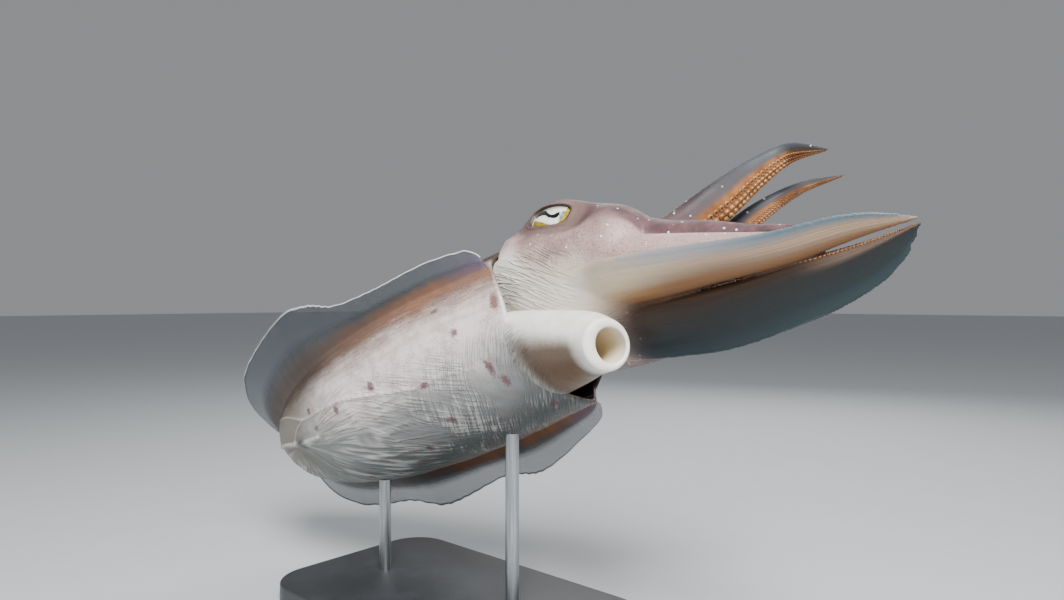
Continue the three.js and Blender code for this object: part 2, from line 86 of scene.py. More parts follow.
def through(pairs):
    """A smooth curve through a few (place, value) pairs."""
    place, value = np.array(pairs, float).T
    last = len(place) - 1

    def at(x):
        x = np.clip(np.asarray(x, float), place[0], place[-1])
        i = np.clip(np.searchsorted(place, x, side="right"), 1, last)
        start, end = place[i - 1], place[i]
        before = np.where(i >= 2, i - 2, i)
        after = np.where(i < last, i + 1, i - 1)
        half = (end - start) / 2
        lead = half / (start - place[before])
        trail = half / (place[np.minimum(after, last)] - end)
        p = (x - start) / (end - start)
        return (
            (-lead * p**3 + 2 * lead * p**2 - lead * p) * value[before]
            + ((1 + lead) * p**3 + (-1.5 - 2 * lead) * p**2 + (lead - 0.5) * p + 1) * value[i - 1]
            + ((-1 - trail) * p**3 + (1.5 + trail) * p**2 + 0.5 * p) * value[i]
            + (trail * p**3 - trail * p**2) * value[after]
        )

    return at


mantle_half = through([(0, 57), (0.25, 63), (0.5, 64), (0.75, 62), (1, 60)])
mantle_rise = through([(0, 41), (0.35, 44), (0.6, 45), (1, 45)])
mantle_drop = through([(0, 48), (0.3, 57), (0.55, 61), (1, 60)])
belly_lobe = through([(0, 0), (0.5, 14.5), (0.8, 17.5), (0.95, 13), (1, 10)])
FINS = {
    -1: {
        "width": through([(0, 13), (0.1, 18), (0.3, 21), (0.45, 26), (0.6, 38), (0.7, 46),
                          (0.82, 46), (0.94, 36), (1, 14)]),
        "lift": through([(0, 6), (0.15, 4), (0.3, -2), (0.45, 2), (0.6, 20), (0.74, 26),
                         (0.88, 4), (1, 0)]),
    },
    1: {
        "width": through([(0, 12), (0.06, 22), (0.15, 29), (0.35, 33), (0.55, 37), (0.75, 42),
                          (0.93, 34), (1, 14)]),
        "lift": through([(0, 6), (0.1, 9), (0.25, -5), (0.42, 8), (0.6, -4), (0.78, 9),
                         (0.92, -2), (1, 0)]),
    },
}


def mixed(a, b, share):
    return a + (b - a) * share


def eased(x, low, high):
    """0 below low, 1 above high, and a smooth step between."""
    t = np.clip((x - low) / (high - low), 0, 1)
    return t * t * (3 - 2 * t)


def rounded(fall):
    """A quarter circle: 1 at 0, and down to 0 at 1."""
    return np.sqrt(1 - np.clip(fall, 0, 1) ** 2)


def unit(v):
    return v / np.maximum(np.linalg.norm(v, axis=-1, keepdims=True), 1e-9)


def mantle_rim(angle):
    up = np.sin(angle)
    lobe = BACK_LOBE * np.maximum(up, 0) ** LOBE_POINT
    return np.where(up > 0, lobe, belly_lobe(np.maximum(-up, 0)))


def mantle_section(share, angle, out=0.0):
    wide = (mantle_half(share) + out) * np.sqrt(np.maximum(0, 1 - share**4.5))
    rise = (mantle_rise(share) + out) * np.sqrt(np.maximum(0, 1 - share**4))
    drop = (mantle_drop(share) + out) * np.sqrt(np.maximum(0, 1 - share**3.2))
    side, up = np.cos(angle), np.sin(angle)
    power = 2 / BELLY_SQUARE
    y = wide * np.where(up > 0, side, np.sign(side) * np.abs(side) ** power)
    z = np.where(up > 0, rise * up, -drop * np.abs(up) ** power)
    return y, z


def mantle_spot(share, angle, out=0.0):
    y, z = mantle_section(share, angle, out)
    return np.stack([mixed(mantle_rim(angle), TAIL, share), y, z - TAIL_DROOP * share**3], -1)


def fin_spot(side, share, free, face):
    """A place on a fin: free runs from its root to its edge, face is 1 above and -1 below."""
    along = np.clip((share - FIN_START) / (FIN_END - FIN_START), 0, 1)
    flank = np.where(side > 0, -FLANK, math.pi + FLANK) + 0 * share
    root = mantle_spot(share, flank)
    run = unit(mantle_spot(share - 0.004, flank) - mantle_spot(share + 0.004, flank))
    outward = unit(np.stack([-np.abs(run[..., 1]), side * np.abs(run[..., 0]), 0 * share], -1))
    ends = rounded(1 - np.minimum(along, 1 - along) / FIN_END_ROUND)
    width = FINS[side]["width"](along) * ends
    edge = rounded((free - 1 + FIN_EDGE_ROUND) / FIN_EDGE_ROUND)
    thick = mixed(FIN_ROOT_THICK, FIN_EDGE_THICK, np.sqrt(free)) / 2
    thick = thick * edge * np.minimum(1, ends * 2)
    spot = root + outward * (width * free)[..., None]
    ripple = 0.5 * free**2 * np.sin(along * 150 + 3 * np.sin(along * 23))
    spot[..., 2] += (FINS[side]["lift"](along) * free**1.7 + ripple) * ends + face * thick
    return spot


def corners(verts):
    return np.array([v.co for v in verts])


def grid_of(columns, rows):
    """A flat grid as a bmesh, and each corner's column and row."""
    bm = bmesh.new()
    bmesh.ops.create_grid(bm, x_segments=columns, y_segments=rows, size=0.5)
    steps = np.rint((corners(bm.verts)[:, :2] + 0.5) * (columns, rows)).astype(int)
    return bm, steps[:, 0], steps[:, 1]


def noted(bm, name, values):
    """Keeps a value or a vector at each corner, for the material to read."""
    values = np.asarray(values, float)
    layers = bm.verts.layers.float if values.ndim == 1 else bm.verts.layers.float_vector
    layer = layers.new(name)
    for corner, value in zip(bm.verts, values):
        corner[layer] = float(value) if values.ndim == 1 else Vector(value)


def placed(bm, spots, welded=1e-5, caps=False):
    """Moves a bmesh's corners to spots, welds its seams, closes its ends and turns it outwards."""
    for corner, spot in zip(bm.verts, spots):
        corner.co = spot
    bmesh.ops.remove_doubles(bm, verts=bm.verts, dist=welded)
    bmesh.ops.dissolve_degenerate(bm, dist=1e-7, edges=bm.edges)
    if caps:
        bmesh.ops.holes_fill(bm, edges=[e for e in bm.edges if e.is_boundary], sides=0)
    bmesh.ops.recalc_face_normals(bm, faces=bm.faces)
    return bm


def object_of(bm, name, finish=None, smooth=True):
    mesh = bpy.data.meshes.new(name)
    bm.to_mesh(mesh)
    bm.free()
    for face in mesh.polygons:
        face.use_smooth = smooth
    piece = bpy.data.objects.new(name, mesh)
    bpy.context.scene.collection.objects.link(piece)
    if finish:
        mesh.materials.append(finish)
    return piece


def in_row(spots, matrix):
    """Spots in a part's own frame, in millimetres, as places in metres in the shared frame."""
    m = np.array(matrix)
    return spots @ m[:3, :3].T + m[:3, 3]


def tint(code):
    """A colour written as on a paint card, as the light it gives back. A Tone stays as it is."""
    if isinstance(code, Tone):
        return code
    parts = [int(code[i:i + 2], 16) / 255 for i in (1, 3, 5)]
    return (*[p / 12.92 if p < 0.04045 else ((p + 0.055) / 1.055) ** 2.4 for p in parts], 1)


class Tone:
    """A value, vector or colour in a material. Sums and products of it add Math nodes."""

    def __init__(self, tree, socket=None):
        self.tree, self.socket = tree, socket

    def node(self, kind, settings=None, sockets=None, out=0):
        made = self.tree.nodes.new(kind)
        for name, value in (settings or {}).items():
            setattr(made, name, value)
        for name, value in (sockets or {}).items():
            if isinstance(value, Tone):
                self.tree.links.new(value.socket, made.inputs[name])
            else:
                made.inputs[name].default_value = value
        return Tone(self.tree, made.outputs[out])

    def math(self, operation, *values):
        return self.node("ShaderNodeMath", {"operation": operation}, dict(enumerate(values)))

    def __add__(self, other):
        return self.math("ADD", self, other)

    def __sub__(self, other):
        return self.math("SUBTRACT", self, other)

    def __rsub__(self, other):
        return self.math("SUBTRACT", other, self)

    def __mul__(self, other):
        return self.math("MULTIPLY", self, other)

    def __truediv__(self, other):
        return self.math("DIVIDE", self, other)

    def __pow__(self, other):
        return self.math("POWER", self, other)

    __radd__ = __add__
    __rmul__ = __mul__

    def size(self):
        return self.math("ABSOLUTE", self)

    def step(self, low, high, to=1.0):
        """0 at low, to at high, and a smooth step between."""
        return self.node("ShaderNodeMapRange", {"interpolation_type": "SMOOTHSTEP"},
                         {0: self, 1: low, 2: high, 3: 0.0, 4: to})

    def here(self):
        """The place on the piece, in metres."""
        return self.node("ShaderNodeTexCoord", out=3)

    def kept(self, name, out=2):
        """A value kept at the corners of the piece."""
        return self.node("ShaderNodeAttribute", {"attribute_name": name}, out=out)

    def laid(self, name):
        """The three parts of a vector kept there."""
        return self.kept(name, 1).split()

    def split(self):
        return [self.node("ShaderNodeSeparateXYZ", sockets={0: self}, out=i) for i in range(3)]

    def vector(self, x, y, z=0.0):
        return self.node("ShaderNodeCombineXYZ", sockets={0: x, 1: y, 2: z})

    def grain(self, scale, detail=3.0, rough=0.55):
        """Noise over this vector, about 0 to 1."""
        return self.node("ShaderNodeTexNoise", sockets={
            "Vector": self, "Scale": scale, "Detail": detail, "Roughness": rough})

    def folds(self, scale=1.0):
        """Sharp crests over this vector, 1 on a crest and 0 away from one."""
        return (self.grain(scale, 1.5, 0.5) - 0.5).size().step(0.11, 0.0)

    def blend(self, a, b, factor):
        """Colour a where factor is 0, and b where it is 1."""
        colours = {0: factor, 6: tint(a), 7: tint(b)}
        return self.node("ShaderNodeMix", {"data_type": "RGBA"}, colours, out=2)

    def over(self, colour, factor):
        """This colour, covered by another where factor is 1."""
        return self.blend(self, colour, factor)

    def coated(self, *coats):
        """This colour under more of them, each with the factor where it covers."""
        for colour, factor in coats:
            self = self.over(colour, factor)
        return self

    def bump(self, height, depth):
        """The normal of a surface raised by height times depth, in metres."""
        return self.node("ShaderNodeBump", sockets={"Distance": depth, "Height": height})


def finish_of(name, constants):
    """A new finish: its material, a Tone to draw with, and its shader's sockets."""
    material = bpy.data.materials.new(name)
    material.use_nodes = True
    tree = material.node_tree
    shader = tree.nodes["Principled BSDF"]
    for socket, value in constants.items():
        shader.inputs[socket].default_value = value
    return material, Tone(tree), shader.inputs


def wired(sockets, **tones):
    """Links tones to a shader's sockets, Base_Color to Base Color and so on."""
    for name, tone in tones.items():
        tone.tree.links.new(tone.socket, sockets[name.replace("_", " ")])


def mantle_finish():
    flesh = {"Roughness": 0.42, "Subsurface Weight": 0.12, "Subsurface Scale": 0.004,
             "Subsurface Radius": (1.0, 0.5, 0.35), "Coat Weight": 0.2, "Coat Roughness": 0.22}
    material, paint, sockets = finish_of("mantle flesh", flesh)
    x, arc, free = paint.laid("lay")
    back, blotch = paint.kept("back"), paint.kept("blotch")
    inner, ridge = paint.kept("inner"), paint.kept("ridge")
    spot = paint.here()
    coarse, middle, fine = spot.grain(22), spot.grain(90, 4), spot.grain(700, 3, 0.7)
    drift = coarse - 0.5

    # Creases: a fan from the pinch at the tail, slanting ones in front, and fine ones on the flank
    from_x, from_arc = x - PINCH[0], arc - PINCH[1]
    away = (from_x * from_x + from_arc * from_arc) ** 0.5
    spread = from_arc.math("ARCTAN2", from_arc, from_x)
    fan = paint.vector(spread * 13, away * 0.012).folds()
    fan = fan * away.step(6, 24) * away.step(165, 80) * spread.step(-0.7, -0.15)
    slant = paint.vector((x + arc * 0.7) * 0.4, (arc - x * 0.7) * 0.02).folds()
    slant = slant * x.step(-112, -66) * arc.step(-44, -14)
    cross = paint.vector((arc - x * 0.44) * 0.3, (x + arc * 0.44) * 0.022, 5.0).folds()
    cross = cross * x.step(-150, -115) * x.step(-10, -60) * arc.step(-44, -20) * arc.step(60, 20)
    flank = paint.vector(arc * 0.5, x * 0.03, 9.0).folds() * arc.step(-46, -70) * 0.35
    calm = (1 - back) * (1 - free.step(0.0, 0.15))
    patchy = spot.grain(26, 2)
    fan = fan * patchy.step(0.3, 0.55)
    crease = (fan + (slant * 0.75 + cross * 0.6) * patchy.step(0.66, 0.42) + flank) * calm

    belly = paint.blend("#eadfdb", "#cbb5b0", middle.step(0.42, 0.75, 0.8))
    # The belly greys and darkens towards its left side, as painted shade, and turns green-grey and
    # brown towards the tail.
    belly = belly.coated(
        ("#858b8a", (arc + drift * 30).step(-34, 4) * 0.85),
        ("#343e3d", (arc + drift * 24).step(-20, 38) * 0.88),
        ("#5a6a60", (x + drift * 60).step(-130, -250) * 0.8),
        ("#74634f", (x + arc * 0.6 + drift * 40).step(-200, -262) * 0.7),
    )
    stipple = fine.step(0.5, 0.64) * middle.step(0.35, 0.6, 0.5)
    belly = belly.coated(
        ("#8d7068", stipple),
        ("#fbf8f2", crease.step(0.35, 0.95, 0.36)),
        ("#fbf8f2", ridge.step(0.3, 1.0, 0.4) * away.step(2, 12)),
        # painted shade in the hollow at the tail's pinch
        ("#3d4648", away.step(11, 2) * 0.75),
    )
    rough_edge = (fine - 0.5) * 1.2 + (middle - 0.5) * 0.9
    mark = (blotch + rough_edge * blotch.step(0.02, 0.3)).step(0.32, 0.85, 0.85)
    belly = belly.over("#6b3f40", mark)

    streak = paint.vector(x * 0.02, arc * 0.16).grain(1.0, 4, 0.65)
    rust = paint.blend("#83583a", "#34241b", (x + drift * 60).step(-50, -215))
    rust = rust.over("#4d3527", streak.step(0.35, 0.7, 0.75))
    ramp = (arc.size() * -1 + 86 + (streak - 0.5) * 40 + (fine - 0.5) * 34).step(46, 8)
    belly = belly.over(rust, ramp * (1 - back) * arc.step(30, 0, 0.94))
    belly = belly.over(rust, ramp * (1 - back) * arc.step(0, 30, 0.94))

    bars = paint.vector(x * 0.03, arc * 0.006).grain(1.0, 2, 0.5)
    hide = paint.blend("#6a4d3e", "#39281f", middle.step(0.4, 0.62))
    hide = hide.coated(
        ("#cbb694", bars.step(0.56, 0.64) * middle.step(0.3, 0.55, 0.8)),
        ("#e0d6c4", fine.step(0.66, 0.72) * coarse.step(0.5, 0.6, 0.7)),
        ("#33261f", x.step(-16, -3) * 0.9),
    )
    body = paint.blend(belly, hide, back)

    sheet = paint.blend(rust, "#3c444a", (free + (streak - 0.5) * 0.5).step(0.12, 0.5))
    # A lilac sheen painted at the front of each fin: painted highlight
    sheet = sheet.over("#5f5168", x.step(-45, 0) * 0.6)
    sheet = sheet.over("#f2f5f6", free.step(0.968, 0.99, 0.8))
    body = body.over(sheet, free.step(0.0, 0.12))
    body = body.over(paint.blend("#c9b7a4", "#3f2f2c", arc.size().step(30, 62)), inner)

    ripple = paint.vector(x * 0.3, free * 3).grain(1.0, 2) * free.step(0.1, 0.5)
    pores = (fine * 0.1 + middle * 0.35) * free.step(0.3, 0.0)
    height = crease * 0.95 + ridge * 0.7 + ripple * 0.5 + pores
    clear = free.step(0.25, 0.6) * free.step(0.975, 0.955) * 0.55
    wired(sockets, Base_Color=body, Normal=paint.bump(height, 0.0012),
          Roughness=0.36 + middle * 0.2, Alpha=1 - clear)
    return material


# Ridges: points along each, its height and its width. Blotches: a place and its half lengths.
# Places are millimetres along the body and round it, from the middle of the belly
ARC_MM = 1.065
RIDGES = (
    ([(-262, -62), (-232, -48), (-205, -35), (-185, -34), (-151, -33), (-112, -25),
      (-90, -20), (-70, -16), (-47, -16), (-23, -11)], 0.9, 1.6),
    ([(-292, -30), (-262, -24), (-230, -17), (-196, -15)], 1.7, 2.6),
    ([(-236, -20), (-222, -30), (-205, -35)], 0.8, 1.6),
    ([PINCH, (-190, 2), (-150, 12), (-112, 16)], 0.7, 1.6),
    ([PINCH, (-195, -9), (-160, -8), (-128, -3)], 0.6, 1.5),
    ([(-228, -14), (-204, 14), (-172, 32), (-140, 40)], 0.6, 1.6),
)
BLOTCHES = (
    (12, -49, 4, 8), (-38, -62, 5, 3), (-23, -39, 4, 3.5), (-13, -8, 3, 7), (-9, 1, 4, 4),
    (-110, -31, 4, 5), (-64, -16, 5, 3), (-193, -39, 3, 4), (-157, -28, 4, 4),
    (-192, -22, 4, 4), (-66, 7, 5, 4), (-188, 33, 4, 5), (-103, 20, 4, 4), (-45, 54, 5, 4),
    (5, 30, 5, 4), (-120, 52, 5, 4),
)
RIM_SHARE, ROW_CROWDING = 0.006, 1.25
BACK_COLUMNS, BELLY_COLUMNS, FIN_COLUMNS = 92, 124, 26
WALL_ROWS, RIM_ROWS, INNER_ROWS = 216, 8, 12
ROOT_GAP = 0.034
free_steps = (np.arange(1, FIN_COLUMNS + 1) / FIN_COLUMNS) ** 0.9


class Path:
    """A smooth line through a few points, followed by its length from 0 to 1."""

    def __init__(self, points):
        p = np.array(points, float)
        p = np.concatenate([[2 * p[0] - p[1]], p, [2 * p[-1] - p[-2]]])
        steps = []
        for i in range(1, len(p) - 2):
            gap = [np.linalg.norm(p[i + k] - p[i + k - 1]) ** 0.5 for k in (0, 1, 2)]
            first = (p[i] - p[i - 1]) / gap[0] - (p[i + 1] - p[i - 1]) / (gap[0] + gap[1])
            first = (first + (p[i + 1] - p[i]) / gap[1]) * gap[1]
            second = (p[i + 1] - p[i]) / gap[1] - (p[i + 2] - p[i]) / (gap[1] + gap[2])
            second = (second + (p[i + 2] - p[i + 1]) / gap[2]) * gap[1]
            t = np.linspace(0, 1, 60, endpoint=False)[:, None]
            a, b = p[i], p[i + 1]
            steps.append(a + first * t + (3 * (b - a) - 2 * first - second) * t**2
                         + (2 * (a - b) + first + second) * t**3)
        self.line = np.concatenate([*steps, [p[-2]]])
        run = np.r_[0, np.cumsum(np.linalg.norm(np.diff(self.line, axis=0), axis=1))]
        self.length = run[-1]
        self.run = run / run[-1]

    def at(self, share):
        return np.stack([np.interp(share, self.run, self.line[:, k]) for k in range(3)], -1)

    def heading(self, share):
        return unit(self.at(np.minimum(share + 0.004, 1)) - self.at(np.maximum(share - 0.004, 0)))


outline = []
for angle in np.linspace(-FLANK + ROOT_GAP, math.pi + FLANK - ROOT_GAP, BACK_COLUMNS):
    outline.append((0, angle, 0, 1))
for face, steps in ((1, free_steps), (-1, free_steps[::-1])):
    outline += [(-1, math.pi + FLANK - face * ROOT_GAP, free, face) for free in steps]
for angle in np.linspace(math.pi + FLANK + ROOT_GAP, 2 * math.pi - FLANK - ROOT_GAP, BELLY_COLUMNS):
    outline.append((0, angle, 0, -1))
for face, steps in ((-1, free_steps), (1, free_steps[::-1])):
    root = 2 * math.pi * (face < 0) - FLANK + face * ROOT_GAP
    outline += [(1, root, free, face) for free in steps]
outline.append(outline[0])
outline = np.array(outline, float)

rows = WALL_ROWS + RIM_ROWS + INNER_ROWS
bm, column, row = grid_of(len(outline) - 1, rows)
side, angle, free, face = outline[column].T
share = mixed(RIM_SHARE, 1, 1 - (np.minimum(row, WALL_ROWS) / WALL_ROWS) ** ROW_CROWDING)
spots = mantle_spot(share, angle)
for flank_side in (-1, 1):
    on_fin = (side == flank_side) & (row <= WALL_ROWS)
    spots[on_fin] = fin_spot(flank_side, share[on_fin], free[on_fin], face[on_fin])
turn = np.clip((row - WALL_ROWS) / RIM_ROWS, 0, 1) * math.pi
over = row > WALL_ROWS
y, z = mantle_section(0 * share, angle, -RIM_ROUND + RIM_ROUND * np.cos(turn))
x = mantle_rim(angle) - RIM_ROUND + RIM_ROUND * np.sin(turn)
down = np.clip((row - WALL_ROWS - RIM_ROWS) / (INNER_ROWS - 4), 0, 1)
spread = np.clip((rows - row) / 4, 0, 1)
x = mixed(x, -RECESS, down)
spots[over] = np.stack([x, y * spread, z * spread], -1)[over]
arc = (np.degrees(angle) - 270) * ARC_MM
noted(bm, "lay", np.stack([spots[:, 0], arc, np.where(over, 0, free)], -1))
noted(bm, "inner", eased(row, WALL_ROWS + 2, WALL_ROWS + RIM_ROWS))
noted(bm, "back", np.where(side == 0, eased(np.sin(angle), -0.16, 0.02), face > 0))

# The belly's larger folds stand up as ridges: a long one, and a fan from the pinch at the tail
belly = np.where((side == 0) & ~over, eased(-np.sin(angle), 0.2, 0.45), 0)
belly_spots = np.nonzero(belly > 0)[0]
raised = np.zeros(len(spots))
for ridge, height, width in RIDGES:
    path = Path([(*place, 0) for place in ridge])
    near = np.full(len(belly_spots), 99.0)
    for ending in np.linspace(0, 1, 120):
        place = path.at(ending)
        gap = np.hypot(spots[belly_spots, 0] - place[0], arc[belly_spots] - place[1])
        near = np.minimum(near, gap + 4 * max(0, ending - 0.7))
    raised[belly_spots] += height * np.exp(-((near / width) ** 2))
stain = np.zeros(len(spots))
for place_x, place_arc, long, wide in BLOTCHES:
    gap = np.hypot((spots[:, 0] - place_x) / long, (arc - place_arc) / wide)
    stain = np.maximum(stain, np.exp(-gap**2))
noted(bm, "blotch", stain * belly)
noted(bm, "ridge", raised * belly)
outward = unit(spots * (0, 1, 1) + 1e-6)
sway = np.zeros(len(spots))
sway[belly_spots] = [noise.fractal(Vector((spots[i, 0] * 0.04, arc[i] * 0.05, 3.1)), 0.6, 2.2, 3)
                     for i in belly_spots]
spots += outward * ((raised + 0.5 * sway - 0.4) * belly)[:, None]
placed(bm, in_row(spots, BODY))
mantle_skin = object_of(bm, "mantle_skin", mantle_finish())
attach(mantle_skin, "root")
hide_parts("mantle", "fin_right", "fin_left")


# Head and arms: an oval neck, a head that swells at the eyes, and a crown of eight arms.
# Each is drawn as its own tube of flesh. The tubes are then melted into one skin, so that the
# arms grow out of the head, and the lids are raised round the eyes in that skin.
HEAD = (
    BODY
    @ Matrix.Translation((1.4, -7.5, 8.2))
    @ Matrix.Rotation(math.radians(4.2), 4, "Z")
    @ Matrix.Rotation(math.radians(7.6), 4, "Y")
    @ Matrix.Rotation(math.radians(-7.7), 4, "X")
)
NECK, CROWN, CROWN_SHIFT = -34.0, 102.0, 3.5
EYE_PLACE = np.array([35.0, 38.0, 14.0])
EYE_RADII = np.array([25.0, 19.5, 19.5])
EYE_LOOK_DOWN = math.radians(30)
EYE_BULGE = 10.0
LID_TURN = math.radians(14)
LID_CENTRE, LID_HALF_LENGTH, LID_HALF_HEIGHT, LID_SQUARE = (0.8, 1.9), 17.8, 7.9, 3.0
FLESH_GRAIN = 0.0008
EYE_FRONT, LID_CREST = 5.0, 1.12
HEAD_TRIANGLES = 188000
# The head's half breadth, rise and drop at places along it
head_table = np.array([
    (-34, 46, 27, 24), (-12, 49.5, 31, 28), (8, 52.5, 34, 32), (32, 52.5, 37, 35),
    (56, 52.5, 36, 36), (76, 49.5, 34, 34), (90, 42, 28, 27), (98, 29, 20, 16), (102, 8, 5, 4),
])
head_half, head_rise, head_drop = [through(head_table[:, [0, k]]) for k in (1, 2, 3)]
head_lift = through([(-34, 2), (-12, 5), (8, 8), (32, 8), (56, 5), (80, 1)])


def head_spot(x, angle):
    up, lift = np.sin(angle), head_lift(x)
    y = head_half(x) * np.cos(angle)
    z = np.where(up > 0, head_rise(x) - lift, head_drop(x) + lift) * up + lift
    near = np.hypot((x - 35) / np.where(x > 35, 21, 25), (z - 22) / 19)
    bulge = EYE_BULGE * np.exp(-near * near)
    outward = unit(np.stack([0 * x, np.cos(angle), up * 0.7], -1))
    return np.stack([x, y, z], -1) + outward * bulge[..., None]


def tube(columns, rows, place):
    """A closed tube: place(along, angle) gives its wall, along from 0 to 1."""
    bm, column, row = grid_of(columns, rows)
    return placed(bm, place(row / rows, column / columns * 2 * math.pi), caps=True)


def taper(*sizes):
    """An arm's sizes at its root, at three places along it, and at its tip."""
    return list(zip((0, 0.3, 0.6, 0.85, 1), sizes))


# Each pair of arms: its path from the crown, half its breadth and depth along it, the way its
# suckers face and how far they are turned, how slim each side is, how far the keel stands out
# on each side, and the suckers' size
ARM_PAIRS = {
    1: {
        "right": [(62, -14, 13), (92, -15, 25), (116, -19, 51), (130, -21, 80), (147, -22, 95),
                  (178, -21, 73)],
        "left": [(66, 13, 15), (91, 12, 38), (106, 7, 66), (122, 4, 89), (142, 3, 103),
                 (170, 4, 102)],
        "half": [(0, 14), (0.25, 12.5), (0.5, 11), (0.75, 6.4), (0.93, 2.4), (1, 0.6)],
        "deep": taper(11, 9, 6.5, 3.5, 0.7),
        "oral": [(0.25, 0, -1), (0.8, 0, -0.6), (0.1, 0, -1)],
        "twist": ([(0, 65), (1, 50)], [(0, 60), (1, 50)]),
        "slim": (1, 0.7),
        "cup": 2.6,
    },
    2: {
        "right": [(58, -36, 12), (82, -30, 10), (104, -22.5, 8), (130, -17.5, 4), (155, -11, 1),
                  (184, -8, -4)],
        "half": taper(14, 13, 9, 4.5, 0.7),
        "deep": taper(12, 9, 6.5, 3.5, 0.7),
        "oral": [(0, 0.9, -0.4)],
    },
    3: {
        "right": [(58, -29, -12), (82, -26.5, -14), (104, -22.5, -15), (135, -15.5, -15),
                  (170, -8.5, -15), (205, -5, -15)],
        "half": taper(13, 12, 9, 4.5, 0.7),
        "deep": taper(12, 9, 6.5, 3.5, 0.7),
        "oral": [(0, 0.95, 0.3)],
    },
    4: {
        "right": [(46, -16, -22), (70, -16, -24), (100, -15.5, -27), (140, -13, -28),
                  (180, -8.5, -26), (212, -6, -21), (235, -1.5, -16)],
        "half": taper(14, 15, 10, 5.2, 0.7),
        "deep": taper(9, 9, 7, 3.5, 0.7),
        "oral": [(0, -0.3, 1)],
        "twist": ([(0, 0), (1, 0)], [(0, 0), (0.5, 0), (0.65, 80), (1, 92)]),
        "keel": ([(0, 0), (0.2, 2.5), (0.35, 1), (0.5, 0.8), (0.65, 1.8), (0.75, 3.4),
                  (0.85, 4.2), (0.95, 2.4), (1, 0)],
                 [(0, 0), (0.2, 2), (0.33, 4), (0.45, 8), (0.6, 11), (0.75, 12.4),
                  (0.88, 10), (0.95, 6), (1, 0)]),
    },
}


class Arm:
    """One arm: its path, its breadth and depth along it, and the way its suckers face."""

    def __init__(self, pair, side):
        plan = ARM_PAIRS[pair]
        points = plan.get("left", plan["right"]) if side > 0 else plan["right"]
        flip = -1 if side > 0 and "left" not in plan else 1
        self.pair, self.side = pair, side
        self.name = f"{pair}_{'left' if side > 0 else 'right'}"
        self.path = Path([(x, y * flip + CROWN_SHIFT, z) for x, y, z in points])
        ways = [(x, -side * y, z) for x, y, z in plan["oral"]]
        self.facing = Path(ways) if len(ways) > 1 else None
        self.way = np.array(ways[0], float)
        slim = plan.get("slim", (1, 1))[side > 0]
        self.half = through([(place, size * slim) for place, size in plan["half"]])
        self.deep = through(plan["deep"])
        self.keel = through(plan["keel"][side > 0]) if "keel" in plan else None
        self.twist = through(plan.get("twist", ([(0, 0), (1, 0)],) * 2)[side > 0])
        self.cup = plan.get("cup", 2.0) * slim

    def axes(self, along):
        heading = self.path.heading(along)
        oral = self.facing.at(along) if self.facing else self.way + 0 * heading
        oral = unit(oral - heading * np.sum(oral * heading, -1, keepdims=True))
        return heading, oral, np.cross(oral, heading)

    def spot(self, along, angle, reach=1.0):
        heading, oral, across = self.axes(along)
        outer = np.where(across[..., 1] * self.side > 0, 1.0, -1.0)
        cos, sin = np.cos(angle), np.sin(angle)
        edge = np.maximum(0, cos * outer)
        keel = self.keel(along) * edge**5 * outer if self.keel else 0
        flat = np.where(sin > 0, 0.72, 1.0)
        thin = 1 - 0.72 * edge**3 * np.minimum(1, along * 4) if self.keel else 1.0
        blunt = np.sign(sin) * np.abs(sin) ** (0.55 if self.keel else 1)
        hem = np.sin(angle - np.radians(self.twist(along)))
        web = 0.12 * np.exp(-(((hem - 0.35) / 0.12) ** 2)) * (0 if self.keel else 1)
        wide = (self.half(along) * cos * (1 + web) + keel) * reach
        least = 1.25 * np.minimum(1, (1 - along) * 14) if self.keel else 0
        high = np.maximum(self.deep(along) * flat * thin, least) * blunt * reach
        return self.path.at(along) + across * wide[..., None] + oral * high[..., None]


def applied(piece):
    """A piece's mesh with its modifiers applied."""
    bpy.context.view_layer.update()
    shown = piece.evaluated_get(bpy.context.evaluated_depsgraph_get())
    return bpy.data.meshes.new_from_object(shown)


def melted(forms, name, grain):
    """One skin over several closed forms that run into each other."""
    whole = bmesh.new()
    for form in forms:
        scrap = bpy.data.meshes.new("scrap")
        form.to_mesh(scrap)
        form.free()
        whole.from_mesh(scrap)
        bpy.data.meshes.remove(scrap)
    rough = object_of(whole, "rough")
    melt = rough.modifiers.new("melt", "REMESH")
    melt.mode = "VOXEL"
    melt.voxel_size = grain
    skin = applied(rough)
    bpy.data.objects.remove(rough)
    skin.name = name
    return skin


def in_part(places, matrix):
    """Places in the shared frame as spots in a part's own frame, in millimetres."""
    return in_row(places, matrix.inverted())


def turned(a, b, angle):
    """A pair of measures, turned together by an angle."""
    cos, sin = math.cos(angle), math.sin(angle)
    return a * cos - b * sin, a * sin + b * cos


def eye_axes(spots, side):
    """Spots by an eye: along its lids, up across them, and out of the socket."""
    away = (spots - EYE_PLACE * (1, side, 1)) * (1, side, 1)
    out, up = turned(away[:, 1], away[:, 2], EYE_LOOK_DOWN)
    along, up = turned(away[:, 0], up, LID_TURN)
    return along, up, out


def from_eye(along, up, out, side):
    """The spots that eye_axes gave those measures for."""
    x, up = turned(along, up, -LID_TURN)
    y, z = turned(out, up, -EYE_LOOK_DOWN)
    return np.stack([x, y, z], -1) * (1, side, 1) + EYE_PLACE * (1, side, 1)


def eye_dome(along, up):
    """How far the eye's clear front stands out of the socket's centre."""
    return EYE_RADII[1] - along**2 / 120 - up**2 / 48


def lid_ring(along, up):
    """1 on the lids' edge, less on the eye, more on the skin."""
    away = np.abs(along - LID_CENTRE[0]) / LID_HALF_LENGTH
    high = np.abs(up - LID_CENTRE[1]) / LID_HALF_HEIGHT
    return (away**LID_SQUARE + high**LID_SQUARE) ** (1 / LID_SQUARE)


